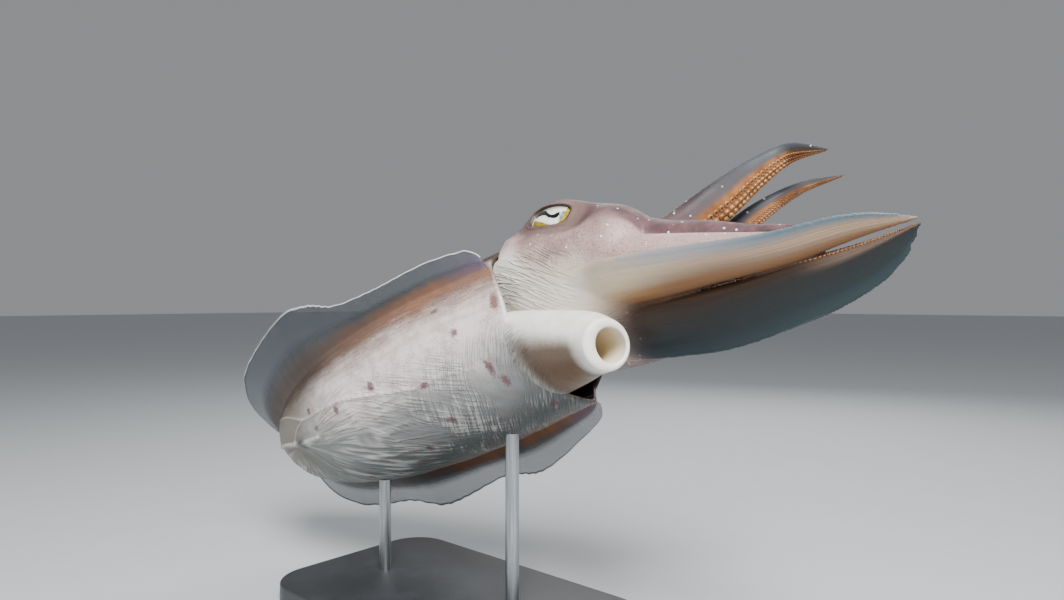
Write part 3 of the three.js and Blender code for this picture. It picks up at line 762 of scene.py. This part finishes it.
def head_finish():
    flesh = {"Roughness": 0.42, "Subsurface Weight": 0.1, "Subsurface Scale": 0.003,
             "Subsurface Radius": (1.0, 0.5, 0.35), "Coat Weight": 0.06, "Coat Roughness": 0.3,
             "Specular IOR Level": 0.36}
    material, paint, sockets = finish_of("head flesh", flesh)
    x, girth, _ = paint.laid("lay")
    across, along, oral = paint.laid("arm")
    first, second, third, fourth = [paint.kept(f"pair_{n}") for n in (1, 2, 3, 4)]
    lid = paint.kept("lid")
    spot = paint.here()
    coarse, middle, fine = spot.grain(30), spot.grain(110, 4), spot.grain(800, 3, 0.7)
    drift = coarse - 0.5

    dark = (girth + drift * 16 + (middle - 0.5) * 12 + x.step(30, -6) * -20).step(60, 84)
    face = paint.blend("#b39891", "#563f3f", dark)
    face = face.over("#80645f", (middle * 0.6 + coarse * 0.4).step(0.42, 0.62) * (1 - dark) * 0.6)
    pale = (girth + drift * 14 + x.step(34, 4) * -26).step(56, 34) * x.step(98, 66)
    beige = pale * x.step(8, 58) * (girth + drift * 20).step(24, 44) * 0.9
    face = face.coated(
        ("#ebe6dd", pale),
        ("#cbba9b", beige),
        ("#7a655c", lid.step(0.0, 0.5, 0.6)),
    )
    bars = paint.vector(x * 0.05, girth * 0.01, 2.0).grain(1.0, 2)
    crown = paint.blend("#5d4439", "#c2ad90", bars.step(0.55, 0.64) * middle.step(0.35, 0.6, 0.8))
    crown = paint.blend("#3f2f2b", crown, x.step(-8, 20))
    face = face.over(crown, girth.step(114, 136))
    face = face.over("#5a4443", fine.step(0.46, 0.66) * (1 - pale) * 0.6)

    streak = paint.vector(across * 5, along * 4).grain(1.0, 3)
    keel = across + drift * 0.16 + (streak - 0.5) * 0.22
    belly_arm = paint.blend("#4a3323", "#7d5737", keel.step(-1.0, -0.6))
    tan = paint.blend("#b48f63", "#875f3d", along.step(0.06, 0.45))
    sand = paint.blend("#cdbd9f", "#927a64", along.step(0.08, 0.6))
    slate = paint.blend("#8c898a", "#55666f", along.step(0.3, 0.75))
    belly_arm = belly_arm.coated(
        (tan, keel.step(-0.65, -0.2)),
        (sand, keel.step(-0.3, 0.3)),
        (slate, keel.step(0.4, 0.9) * along.step(0.08, 0.4)),
        ("#dcd2bf", along.step(0.28, -0.02) * keel.step(0.5, -0.3)),
    )
    # The left fourth arm lies in shade, so its underside is painted in darker copies of the colours
    # above: painted shade.
    shaded_belly_arm = paint.blend("#4a3220", "#271d16", keel.step(-1.0, -0.5))
    shaded_belly_arm = shaded_belly_arm.coated(
        ("#191a19", keel.step(-0.5, 0.05)),
        ("#152022", keel.step(0.05, 0.55)),
        ("#1f2f33", keel.step(0.5, 0.9)),
        ("#4c565c", keel.step(0.94, 1.02) * 0.5),
    )
    belly_arm = belly_arm.over(shaded_belly_arm, paint.kept("fourth_left_painted_shade"))
    side_arm = paint.blend("#bda29a", "#a3877f", middle)
    side_arm = side_arm.over("#8d7268", along.step(0.4, 0.9) * 0.5)
    upper_arm = paint.blend("#6e5153", "#4f3a3c", middle.step(0.3, 0.65))
    back_arm = paint.blend("#2c2527", "#584a4c", (oral + drift * 0.4).step(-0.7, 0.2))
    back_arm = back_arm.over("#404a50", (along + drift * 0.2).step(0.3, 0.6) * 0.7)
    back_arm = back_arm.over("#6b5153", along.step(0.38, 0.15) * 0.8)
    arm = paint.blend(upper_arm, back_arm, first)
    arm = arm.coated(
        (side_arm, third),
        ("#54403f", fine.step(0.48, 0.68) * 0.55),
        (belly_arm, fourth),
    )
    mouth = paint.blend("#7d4820", "#a06c40", middle.step(0.3, 0.7))
    mouth = paint.blend("#8c7263", mouth, first)
    inside = oral.step(0.02, 0.5) * (1 - fourth * 0.7) * (along - fourth * 0.6).step(0.1, 0.24)
    arm = arm.over(mouth, inside)
    whole = paint.blend(face, arm, (first + second + third + fourth).step(0.0, 1.0))
    # Painted shade darkens the head's left flank and the roots of its left second and third arms
    whole = whole.over("#413936", paint.kept("shade") * 0.8)

    cells = spot.node("ShaderNodeTexVoronoi", sockets={"Vector": spot, "Scale": 190.0})
    chosen = cells.node("ShaderNodeTexVoronoi", sockets={"Vector": spot, "Scale": 190.0}, out=1)
    dots = cells.step(0.19, 0.08) * chosen.split()[0].step(0.36, 0.42)
    dots = dots * (1 - pale) * (1 - oral.step(0.0, 0.2)) * (1 - fourth) * lid.step(0.2, 0.0)
    whole = whole.over("#fbf8f6", dots * 0.9)
    whole = whole.over("#2c2320", lid.step(0.955, 0.995, 0.75))

    over_neck, round_neck = girth * -0.8 * 0.9 - x * 0.44, x * 0.9 - girth * 0.8 * 0.44
    neck = paint.vector(over_neck * 0.38, round_neck * 0.03).folds()
    neck = neck * x.step(72, 36) * girth.step(70, 50) * middle.step(0.3, 0.5)
    whole = whole.over("#c3b9aa", (1 - neck) * x.step(70, 30) * girth.step(74, 48) * 0.4)
    cracks = paint.vector(across * 10, along * 22).folds() * fourth
    cracks = cracks * along.step(0.35, 0.1) * across.step(0.2, -0.3) * 0.4
    lines = paint.vector(across * 9, along * 2).grain(1.0, 2) * fourth
    height = neck * 0.8 + cracks + lines * 0.35 + fine * 0.12 + middle * 0.3 + dots * 0.6
    wired(sockets, Base_Color=whole, Normal=paint.bump(height, 0.0009),
          Roughness=0.42 + middle * 0.2 + first * 0.14)
    return material


arms = [Arm(pair, side) for pair in (1, 2, 3, 4) for side in (-1, 1)]
forms = [tube(120, 64, lambda along, angle: in_row(
    head_spot(mixed(NECK, CROWN, along), angle), HEAD))]
for arm in arms:
    forms.append(tube(44, 140, lambda along, angle: in_row(arm.spot(along, angle), HEAD)))
skin = melted(forms, "head_skin", FLESH_GRAIN)

bm = bmesh.new()
bm.from_mesh(skin)
bm.verts.ensure_lookup_table()
spots = in_part(corners(bm.verts), HEAD)
for rounds, low, high in ((6, 66, 112), (14, 74, 98), (1, -math.inf, math.inf)):
    joint = [bm.verts[i] for i in np.nonzero((spots[:, 0] > low) & (spots[:, 0] < high))[0]]
    for _ in range(rounds):
        bmesh.ops.smooth_vert(bm, verts=joint, factor=0.5,
                              use_axis_x=True, use_axis_y=True, use_axis_z=True)
spots = in_part(corners(bm.verts), HEAD)

# The lids: the skin closes in to a thin soft edge round each eye, and sinks behind the ball
ring = np.full(len(spots), 99.0)
for side in (-1, 1):
    along, up, out = eye_axes(spots, side)
    ring = np.minimum(ring, lid_ring(along, up) + 9 * (out < EYE_FRONT))
for v, r in zip(bm.verts, ring):
    v.tag = bool(0.72 < r < 1.3)
fine_edges = [e for e in bm.edges if e.verts[0].tag and e.verts[1].tag]
bmesh.ops.subdivide_edges(bm, edges=fine_edges, cuts=1, use_grid_fill=True)
bm.verts.ensure_lookup_table()
spots = in_part(corners(bm.verts), HEAD)
for side in (-1, 1):
    along, up, out = eye_axes(spots, side)
    ring = lid_ring(along, up)
    near = np.nonzero((ring < 2.6) & (out > EYE_FRONT))[0]
    along, up, out, ring = along[near], up[near], out[near], ring[near]
    pull = np.where(np.abs(ring - 1) < 0.05, 1 / np.maximum(ring, 0.5), 1)
    along = mixed(LID_CENTRE[0], along, pull)
    up = mixed(LID_CENTRE[1], up, pull)
    dome = eye_dome(along, up)
    fold = 0.9 + 0.5 * np.exp(-(((ring - LID_CREST) / 0.09) ** 2))
    skin_level = mixed(dome + fold, out, eased(ring, LID_CREST, 2.5))
    level = np.where(ring < 0.95, dome - 1.2 - 3 * (0.95 - ring), skin_level)
    spots[near] = from_eye(along, up, level, side)
places = in_row(spots, HEAD)
for corner, place in zip(bm.verts, places):
    corner.co = place

# The neck fits inside the mantle's rim, and ends at the floor of the recess
body_spots = in_part(places, BODY)
angle = np.arctan2(body_spots[:, 2], body_spots[:, 1])
y, z = mantle_section(0 * angle, angle, -2 * RIM_ROUND - 0.8)
room = np.hypot(y, z) / np.maximum(np.hypot(body_spots[:, 1], body_spots[:, 2]), 1e-6)
held = np.nonzero((body_spots[:, 0] < mantle_rim(angle) + 1) & (room < 1))[0]
body_spots[held, 1:] *= room[held, None]
for i in held:
    bm.verts[i].co = in_row(body_spots[i], BODY)
floor_place = BODY @ Vector((-RECESS + 0.6, 0, 0))
floor_way = (BODY.to_3x3() @ Vector((-1, 0, 0))).normalized()
everything = list(bm.verts) + list(bm.edges) + list(bm.faces)
bmesh.ops.bisect_plane(bm, geom=everything, plane_co=floor_place, plane_no=floor_way,
                       clear_outer=True)
bmesh.ops.holes_fill(bm, edges=[e for e in bm.edges if e.is_boundary], sides=0)
head_skin = object_of(bm, "head_skin", head_finish())
thinner = head_skin.modifiers.new("thinner", "DECIMATE")
thinner.ratio = HEAD_TRIANGLES / max(HEAD_TRIANGLES + 1, 2 * len(head_skin.data.polygons))
fine_mesh = applied(head_skin)
head_skin.modifiers.clear()
head_skin.data = fine_mesh

# What the finish reads: the place on the head, and across, along and round the nearest arm
places = corners(fine_mesh.vertices)
spots = in_part(places, HEAD)
steps = np.linspace(0.0, 1.0, 120)
gaps, places_along = [], []
for arm in arms:
    line = arm.path.at(steps)
    square = np.sum(spots**2, -1)[:, None] - 2 * spots @ line.T + np.sum(line**2, -1)
    here = steps[np.argmin(square, axis=1)]
    places_along.append(here)
    thick = 0.6 * arm.half(here) + 0.4 * arm.deep(here)
    gaps.append(np.sqrt(np.maximum(square.min(axis=1), 0)) / thick)
gaps = np.array(gaps)
nearest = np.argmin(gaps, axis=0)
sharp = 1.5 + 22 * eased(spots[:, 0], 70, 125)
pull = np.exp(-sharp * (gaps - gaps.min(axis=0)))
pull /= pull.sum(axis=0)
across, oral, along, fourth_left_painted_shade, left_arms_painted_shade, lid = np.zeros((6, len(spots)))
weight = np.zeros((5, len(spots)))
for number, arm in enumerate(arms):
    mine = nearest == number
    here = places_along[number][mine]
    heading, way, sideways = arm.axes(here)
    from_path = spots[mine] - arm.path.at(here)
    outer = np.where(sideways[:, 1] * arm.side > 0, 1.0, -1.0)
    aside, above = np.sum(from_path * sideways, -1), np.sum(from_path * way, -1)
    round_arm = np.arctan2(above / arm.deep(here), aside / arm.half(here))
    reach = arm.half(here) + (arm.keel(here) * (aside * outer > 0) if arm.keel else 0)
    across[mine] = aside * outer / reach
    oral[mine] = np.sin(round_arm - np.radians(arm.twist(here)))
    along[mine] = here
    grown = eased(spots[:, 0], *((20, 104) if arm.pair == 4 else (60, 96)))
    share = pull[number] * grown
    weight[arm.pair] += share
    # The roots of the left second and third arms are darkened too: painted shade
    if arm.name in ("2_left", "3_left"):
        left_arms_painted_shade += share
    # Where the left fourth arm's painted shade is laid
    if arm.name == "4_left":
        fourth_left_painted_shade = share / np.maximum(1e-6, share + pull[number - 1] * grown)
for side in (-1, 1):
    from_lids, up, out = eye_axes(spots, side)
    lid = np.maximum(lid, (1 - eased(lid_ring(from_lids, up), 0.97, 1.9)) * (out > EYE_FRONT))
girth = np.degrees(np.arctan2(spots[:, 1], head_lift(spots[:, 0]) - spots[:, 2]))
# Painted shade: the head's left flank is darkened, and so are the roots of the left second and
# third arms
shade = eased(girth, 44, 70) * (1 - eased(girth, 100, 140)) * eased(spots[:, 0], 18, 48)
shade = np.maximum(shade, left_arms_painted_shade * (1 - eased(spots[:, 0], 100, 130)))
girth = np.abs(girth)


def note(piece, name, values):
    """Keeps a value, or a vector, at each corner of a finished mesh for its material."""
    kind, field = ("FLOAT", "value") if np.ndim(values) == 1 else ("FLOAT_VECTOR", "vector")
    layer = piece.data.attributes.new(name, kind, "POINT")
    layer.data.foreach_set(field, np.asarray(values, np.float32).ravel())


note(head_skin, "lay", np.stack([spots[:, 0], girth, -spots[:, 2]], -1))
note(head_skin, "arm", np.stack([across, along, oral], -1))
note(head_skin, "lid", lid)
note(head_skin, "fourth_left_painted_shade", fourth_left_painted_shade)
note(head_skin, "shade", shade)
for pair in (1, 2, 3, 4):
    note(head_skin, f"pair_{pair}", weight[pair])
for face in fine_mesh.polygons:
    face.use_smooth = True
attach(head_skin, "root")
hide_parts("head", *[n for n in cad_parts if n.startswith("arm_")])


# Suckers: small soft cups in four staggered rows along the inner face of each arm, each
# with a pale horny ring round its mouth. They shrink towards the arm's tip.
CUPS_FROM, CUPS_TO = 0.13, 0.985
CUP_ROWS, CUP_SUNK = (-0.6, -0.2, 0.2, 0.6), 0.16


def cup_form():
    bm = bmesh.new()
    bmesh.ops.create_cone(bm, cap_ends=True, segments=12, radius1=0.9, radius2=1.0, depth=0.8)
    top = [f for f in bm.faces if f.normal.z > 0.9]
    bmesh.ops.inset_region(bm, faces=top, thickness=0.16, depth=0.16)
    bmesh.ops.inset_region(bm, faces=top, thickness=0.26, depth=0.04)
    bmesh.ops.inset_region(bm, faces=top, thickness=0.18, depth=-0.4)
    return bm


def cup_finish():
    horn = {"Roughness": 0.35, "Coat Weight": 0.25, "Subsurface Weight": 0.1,
            "Subsurface Scale": 0.002}
    material, paint, sockets = finish_of("sucker", horn)
    mouth = paint.kept("mouth")
    spot = paint.here()
    tone = paint.blend("#aa784c", "#895a30", spot.grain(120).step(0.35, 0.65))
    tone = tone.over("#7d4f2c", mouth)
    wired(sockets, Base_Color=tone, Normal=paint.bump(spot.grain(900), 0.0002),
          Roughness=0.3 + spot.grain(300) * 0.2)
    return material


def buried(arm, place):
    """Whether a place on one arm lies inside another arm."""
    for other in arms:
        gap = np.linalg.norm(other.path.at(steps) - place, axis=1)
        close = int(np.argmin(gap))
        if other is not arm and gap[close] < 0.8 * float(other.deep(steps[close])):
            return True
    return False


cup_shape = bpy.data.meshes.new("cup")
form = cup_form()
form.to_mesh(cup_shape)
form.free()
cup_paint = cup_finish()
for arm in arms:
    bm = bmesh.new()
    layer = bm.verts.layers.float.new("mouth")
    run = CUPS_FROM * arm.path.length
    while run < CUPS_TO * arm.path.length:
        share = run / arm.path.length
        size = min(arm.cup * (1 - share) ** 0.45, float(arm.half(share)) * 0.21)
        twist, radius = math.radians(float(arm.twist(share))), size * 0.98
        for k, place_across in enumerate(CUP_ROWS):
            here = np.array([share + (radius / arm.path.length if k % 2 else 0)])
            angle = np.array([math.pi / 2 + twist * 0.8 + place_across])
            top = arm.spot(here, angle)[0]
            out = unit(top - arm.spot(here, angle, 0.6)[0])
            if buried(arm, top + out * size):
                continue
            out = Vector(out)
            count = len(bm.verts)
            bm.from_mesh(cup_shape)
            bm.verts.ensure_lookup_table()
            fresh = bm.verts[count:]
            for corner in fresh:
                corner[layer] = 1.0 if corner.co.xy.length < 0.45 else 0.0
            turn = Vector((0, 0, 1)).rotation_difference(out).to_matrix().to_4x4()
            seat = Matrix.Translation(Vector(top) - out * radius * CUP_SUNK)
            stand = HEAD @ seat @ turn @ Matrix.Scale(radius, 4)
            bmesh.ops.transform(bm, matrix=stand, verts=fresh)
        run += size * 1.98
    cups = object_of(bm, f"suckers_{arm.name}", cup_paint)
    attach(cups, "root")


# Funnel: the soft tube under the neck through which the animal jets. It comes out of the
# mantle's opening and ends in a round mouth with a thin rolled lip.
funnel_path = Path([(-22, -1, -31), (6, -1, -35), (34, -1, -42.5), (62, -1, -51.5), (78, -1, -61)])
funnel_half = through([(0, 34), (0.3, 32.5), (0.6, 25.5), (0.85, 18.5), (1, 16.5)])
funnel_deep = through([(0, 10), (0.25, 13), (0.5, 16), (0.8, 16.5), (1, 15.5)])
FUNNEL_BORE = 32.0
LIP_WALL, LIP_THIN_SIDE = 5.0, math.radians(45)
UNDERSIDE = math.radians(52)
FUNNEL_COLUMNS, FUNNEL_WALL, FUNNEL_LIP, FUNNEL_INNER = 132, 110, 12, 44


def funnel_spot(along, angle, inset):
    heading = funnel_path.heading(along)
    up = unit(np.array([0.0, 0, 1]) - heading * heading[..., 2:3])
    across = np.cross(up, heading)
    wide = (funnel_half(along) - inset) * np.cos(angle)
    high = (funnel_deep(along) - inset) * np.sin(angle)
    return funnel_path.at(along) + across * wide[..., None] + up * high[..., None]


def funnel_finish():
    flesh = {"Roughness": 0.4, "Subsurface Weight": 0.25, "Subsurface Scale": 0.006,
             "Subsurface Radius": (1.0, 0.6, 0.4), "Coat Weight": 0.2, "Coat Roughness": 0.2}
    material, paint, sockets = finish_of("funnel flesh", flesh)
    along, girth, bore = paint.laid("lay")
    under = paint.kept("under")
    spot = paint.here()
    coarse, middle, fine = spot.grain(35), spot.grain(120, 4), spot.grain(800, 3, 0.7)
    tone = paint.blend("#efece4", "#dcd3c4", middle.step(0.4, 0.75, 0.6))
    shadow = (under + (coarse - 0.5) * 0.3).step(-0.12, 0.5) * along.step(0.98, 0.84)
    tone = tone.coated(
        ("#81776a", shadow * along.step(0.46, 0.24) * 0.75),
        ("#5f4225", shadow * along.step(0.26, 0.46) * 0.95),
        ("#4e3b29", fine.step(0.5, 0.66) * shadow * 0.4),
        ("#efe7d5", bore.step(0.02, 0.12)),
        ("#dccdae", bore.step(0.06, 0.5)),
    )
    folds = paint.vector(girth * 70 + along * 26, along * 5).folds() ** 2
    folds = folds * along.step(0.62, 0.3) * (1 - bore.step(0.0, 0.1)) * under.step(-0.5, 0.3)
    height = folds * 1.5 + fine * 0.1 + middle * 0.25
    wired(sockets, Base_Color=tone, Normal=paint.bump(height, 0.0009),
          Roughness=0.32 + middle * 0.2)
    return material


rows = FUNNEL_WALL + FUNNEL_LIP + FUNNEL_INNER
bm, column, row = grid_of(FUNNEL_COLUMNS, rows)
angle = column / FUNNEL_COLUMNS * 2 * math.pi
lip_share = 1.8 / funnel_path.length
bore_end = 1 - FUNNEL_BORE / funnel_path.length
turn = np.clip((row - FUNNEL_WALL) / FUNNEL_LIP, 0, 1) * math.pi
wall = np.minimum(row / FUNNEL_WALL, 1) * (1 - lip_share)
inner = np.clip((row - FUNNEL_WALL - FUNNEL_LIP) / FUNNEL_INNER, 0, 1)
bore = mixed(1 - lip_share, bore_end, inner) + lip_share * np.sin(turn)
along = np.where(row <= FUNNEL_WALL, wall, bore)
thin = np.cos(angle - LIP_THIN_SIDE)
inset = LIP_WALL * (1 - 0.5 * thin) * (1 - np.cos(turn)) / 2 + 2.5 * inner
inset += 1.6 * (1 + thin) * eased(inner, 0, 0.6)
spots = funnel_spot(along, angle, inset + 0.3 + 1.8 * eased(along, 0.84, 1.0) * (1 - inner))
noted(bm, "lay", np.stack([along, column / FUNNEL_COLUMNS, inner + 0.04 * (turn > 2)], -1))
noted(bm, "under", np.cos(angle + UNDERSIDE))
placed(bm, in_row(spots, BODY), caps=True)
funnel_skin = object_of(bm, "funnel_skin", funnel_finish())
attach(funnel_skin, "root")
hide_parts("funnel")


# Eyes: a glossy ball in each socket, silver with yellow corners, and a black pupil drawn
# out into the long wave of a cuttlefish in bright light.
def eye_finish():
    gloss = {"Roughness": 0.12, "Coat Weight": 0.5, "Coat Roughness": 0.03,
             "Specular IOR Level": 0.3}
    material, paint, sockets = finish_of("eye", gloss)
    along, up, _ = paint.laid("lay")
    spot = paint.here()
    silk = spot.grain(400, 3)

    wave = 4.1 - along.step(-5.0, 5.5, 3.6) + along.step(6.5, 11.0, 1.2)
    wave = wave - along.step(-7.0, -12.0, 1.0)
    thick = 1.1 + along.step(1.0, -7.0, 1.2) + along.step(5.5, 9.5, 0.9)
    inside = along.step(-12.8, -11.0) * along.step(11.6, 10.2)
    band = thick * inside - (up - wave).size()
    pupil = band.step(-0.12, 0.12)
    tone = paint.blend("#f3f3ec", "#cfd2cf", silk.step(0.4, 0.7))
    # The top of the eye is greyed: painted shade under the upper lid
    tone = tone.over("#7b756d", (up - along * 0.12).step(2.8, 9.0) * 0.85)
    patch = along.step(10.4, 13.4) * up.step(6.0, 3.6) * up.step(-3.4, -1.0)
    tone = tone.over("#4f6c82", patch * 0.95)
    tone = tone.over("#b9bbb0", band.step(-1.5, -0.2) * 0.5)
    gold = paint.blend("#ac9900", "#7c7000", silk.step(0.45, 0.7))
    corner = along + up.step(1.0, -6.0, 3.4) + up.step(3.0, 9.0, 1.8)
    tone = tone.over(gold, corner.step(14.2, 14.9))
    low_gold = ((along + 11.2) * -0.25 - 0.6 - up).step(-0.4, 0.4) * along.step(-12.4, -11.8)
    tone = tone.coated(
        (paint.blend("#8a7a00", gold, along.step(-11.0, -3.0)), low_gold),
        ("#77821d", (along - (up - 1.0).step(0.0, 7.0, 3.0)).step(-13.9, -14.6)),
        ("#f4f2e2", (along + 13.0).size().step(1.0, 0.4) * up.step(0.5, -1.5)),
        ("#050506", pupil),
    )
    ring = ((along - LID_CENTRE[0]) / LID_HALF_LENGTH).size() ** LID_SQUARE
    ring = ring + ((up - LID_CENTRE[1]) / LID_HALF_HEIGHT).size() ** LID_SQUARE
    tone = tone.over("#2c2320", ring.step(0.86, 1.0))
    wired(sockets, Base_Color=tone, Normal=paint.bump(pupil * -1 + silk * 0.1, 0.0004))
    return material


BALL_HALF_LENGTH, BALL_HALF_HEIGHT = 21.5, 10.5
eye_paint = eye_finish()
for side, word in ((-1, "right"), (1, "left")):
    bm = bmesh.new()
    bmesh.ops.create_uvsphere(bm, u_segments=96, v_segments=64, radius=1)
    ball = corners(bm.verts)
    along = ball[:, 0] * BALL_HALF_LENGTH + LID_CENTRE[0]
    up = ball[:, 1] * BALL_HALF_HEIGHT + LID_CENTRE[1]
    edge = np.hypot(ball[:, 0], ball[:, 1]) ** 4
    out = eye_dome(along, up) - 2.0 * edge + np.minimum(ball[:, 2], 0) * 9
    noted(bm, "lay", np.stack([along, up, out], -1))
    placed(bm, in_row(from_eye(along, up, out, side), HEAD))
    ball = object_of(bm, f"eyeball_{word}", eye_paint)
    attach(ball, "root")
    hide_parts(f"eye_{word}")


# Stand: a flat painted base with a soft top edge, and two short steel rods that end in
# the belly they carry.
def base_finish():
    material, paint, sockets = finish_of("base paint", {"Coat Weight": 0.15, "Coat Roughness": 0.3})
    spot = paint.here()
    orange_peel, wear = spot.grain(1400, 2), spot.grain(40, 4)
    tone = paint.blend("#2b2d30", "#34373a", wear.step(0.35, 0.7))
    wired(sockets, Base_Color=tone, Normal=paint.bump(orange_peel, 0.00015),
          Roughness=0.42 + wear * 0.16)
    return material


def rod_finish():
    material, paint, sockets = finish_of("rod steel", {"Metallic": 1.0})
    x, y, z = paint.here().split()
    brushed = paint.vector(x * 900, y * 900, z * 30).grain(1.0, 3)
    tone = paint.blend("#b9bcbe", "#9a9ea1", brushed.step(0.35, 0.65))
    wired(sockets, Base_Color=tone, Normal=paint.bump(brushed, 0.00005),
          Roughness=0.24 + brushed * 0.18)
    return material


BASE_HALF_LENGTH, BASE_HALF_WIDTH, BASE_THICK = 0.125, 0.075, 0.014
BASE_CORNER, BASE_EDGE = 0.03, 0.0016
ROD_RADIUS, ROD_PLACES, ROD_SIDE, ROD_SOCKET = 0.0045, (-0.074, 0.062), -0.002, 0.008
bm = bmesh.new()
bmesh.ops.create_grid(bm, x_segments=1, y_segments=1, size=1)
bmesh.ops.scale(bm, vec=(BASE_HALF_LENGTH, BASE_HALF_WIDTH, 1), verts=bm.verts)
raised = bmesh.ops.extrude_face_region(bm, geom=bm.faces[:])
top = [g for g in raised["geom"] if isinstance(g, bmesh.types.BMVert)]
bmesh.ops.translate(bm, vec=(0, 0, BASE_THICK), verts=top)
bmesh.ops.recalc_face_normals(bm, faces=bm.faces)
upright = [e for e in bm.edges if abs(e.verts[0].co.z - e.verts[1].co.z) > 0.001]
bmesh.ops.bevel(bm, geom=upright, offset=BASE_CORNER, segments=14, profile=0.5,
                affect="EDGES", material=-1)
rim = [e for e in bm.edges if min(v.co.z for v in e.verts) > BASE_THICK - 1e-5]
bmesh.ops.bevel(bm, geom=rim, offset=BASE_EDGE, segments=4, profile=0.5,
                affect="EDGES", material=-1)
base = object_of(bm, "base_plate", base_finish())
base.data.shade_smooth()
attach(base, "root")
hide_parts("stand_base")
steel = rod_finish()
for place, node in zip(ROD_PLACES, ("stand_rod_back", "stand_rod_front")):
    low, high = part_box(node)
    bm = bmesh.new()
    tall = high.z - (BASE_THICK - ROD_SOCKET)
    bmesh.ops.create_cone(bm, cap_ends=True, segments=40, radius1=ROD_RADIUS,
                          radius2=ROD_RADIUS, depth=tall)
    bmesh.ops.translate(bm, vec=(place, ROD_SIDE, high.z - tall / 2), verts=bm.verts)
    rod = object_of(bm, node.replace("stand_rod", "rod"), steel)
    rod.data.set_sharp_from_angle(angle=math.radians(40))
    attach(rod, "root")
    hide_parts(node)


# Floor and light: a plain pale floor under soft studio lamps. The strongest hangs to the
# front and right of the animal, so its tail and left side fall into a soft shade.
bm = bmesh.new()
bmesh.ops.create_grid(bm, x_segments=1, y_segments=1, size=12)
floor_paint, paint, sockets = finish_of("floor", {"Roughness": 0.8})
speck = paint.here().grain(30)
wired(sockets, Base_Color=paint.blend("#c8ccce", "#c2c6c9", speck))
floor = object_of(bm, "floor", floor_paint, smooth=False)
world = bpy.data.worlds.new("studio")
bpy.context.scene.world = world
world.use_nodes = True
sky = world.node_tree.nodes["Background"].inputs
sky["Color"].default_value = (0.78, 0.8, 0.84, 1)
sky["Strength"].default_value = 0.36
LAMPS_AIM = Vector((0.08, 0, 0.22))
for name, place, size, power in (
    ("key", (0.75, -0.6, 1.05), 0.5, 38),
    ("fill", (-0.5, -0.9, 0.5), 1.2, 2),
    ("back", (-0.3, 1.0, 0.9), 1.0, 8),
):
    lamp_data = bpy.data.lights.new(name, "AREA")
    lamp_data.size = size
    lamp_data.energy = power
    lamp = bpy.data.objects.new(name, lamp_data)
    lamp.location = place
    lamp.rotation_euler = (LAMPS_AIM - Vector(place)).to_track_quat("-Z", "Y").to_euler()
    bpy.context.scene.collection.objects.link(lamp)
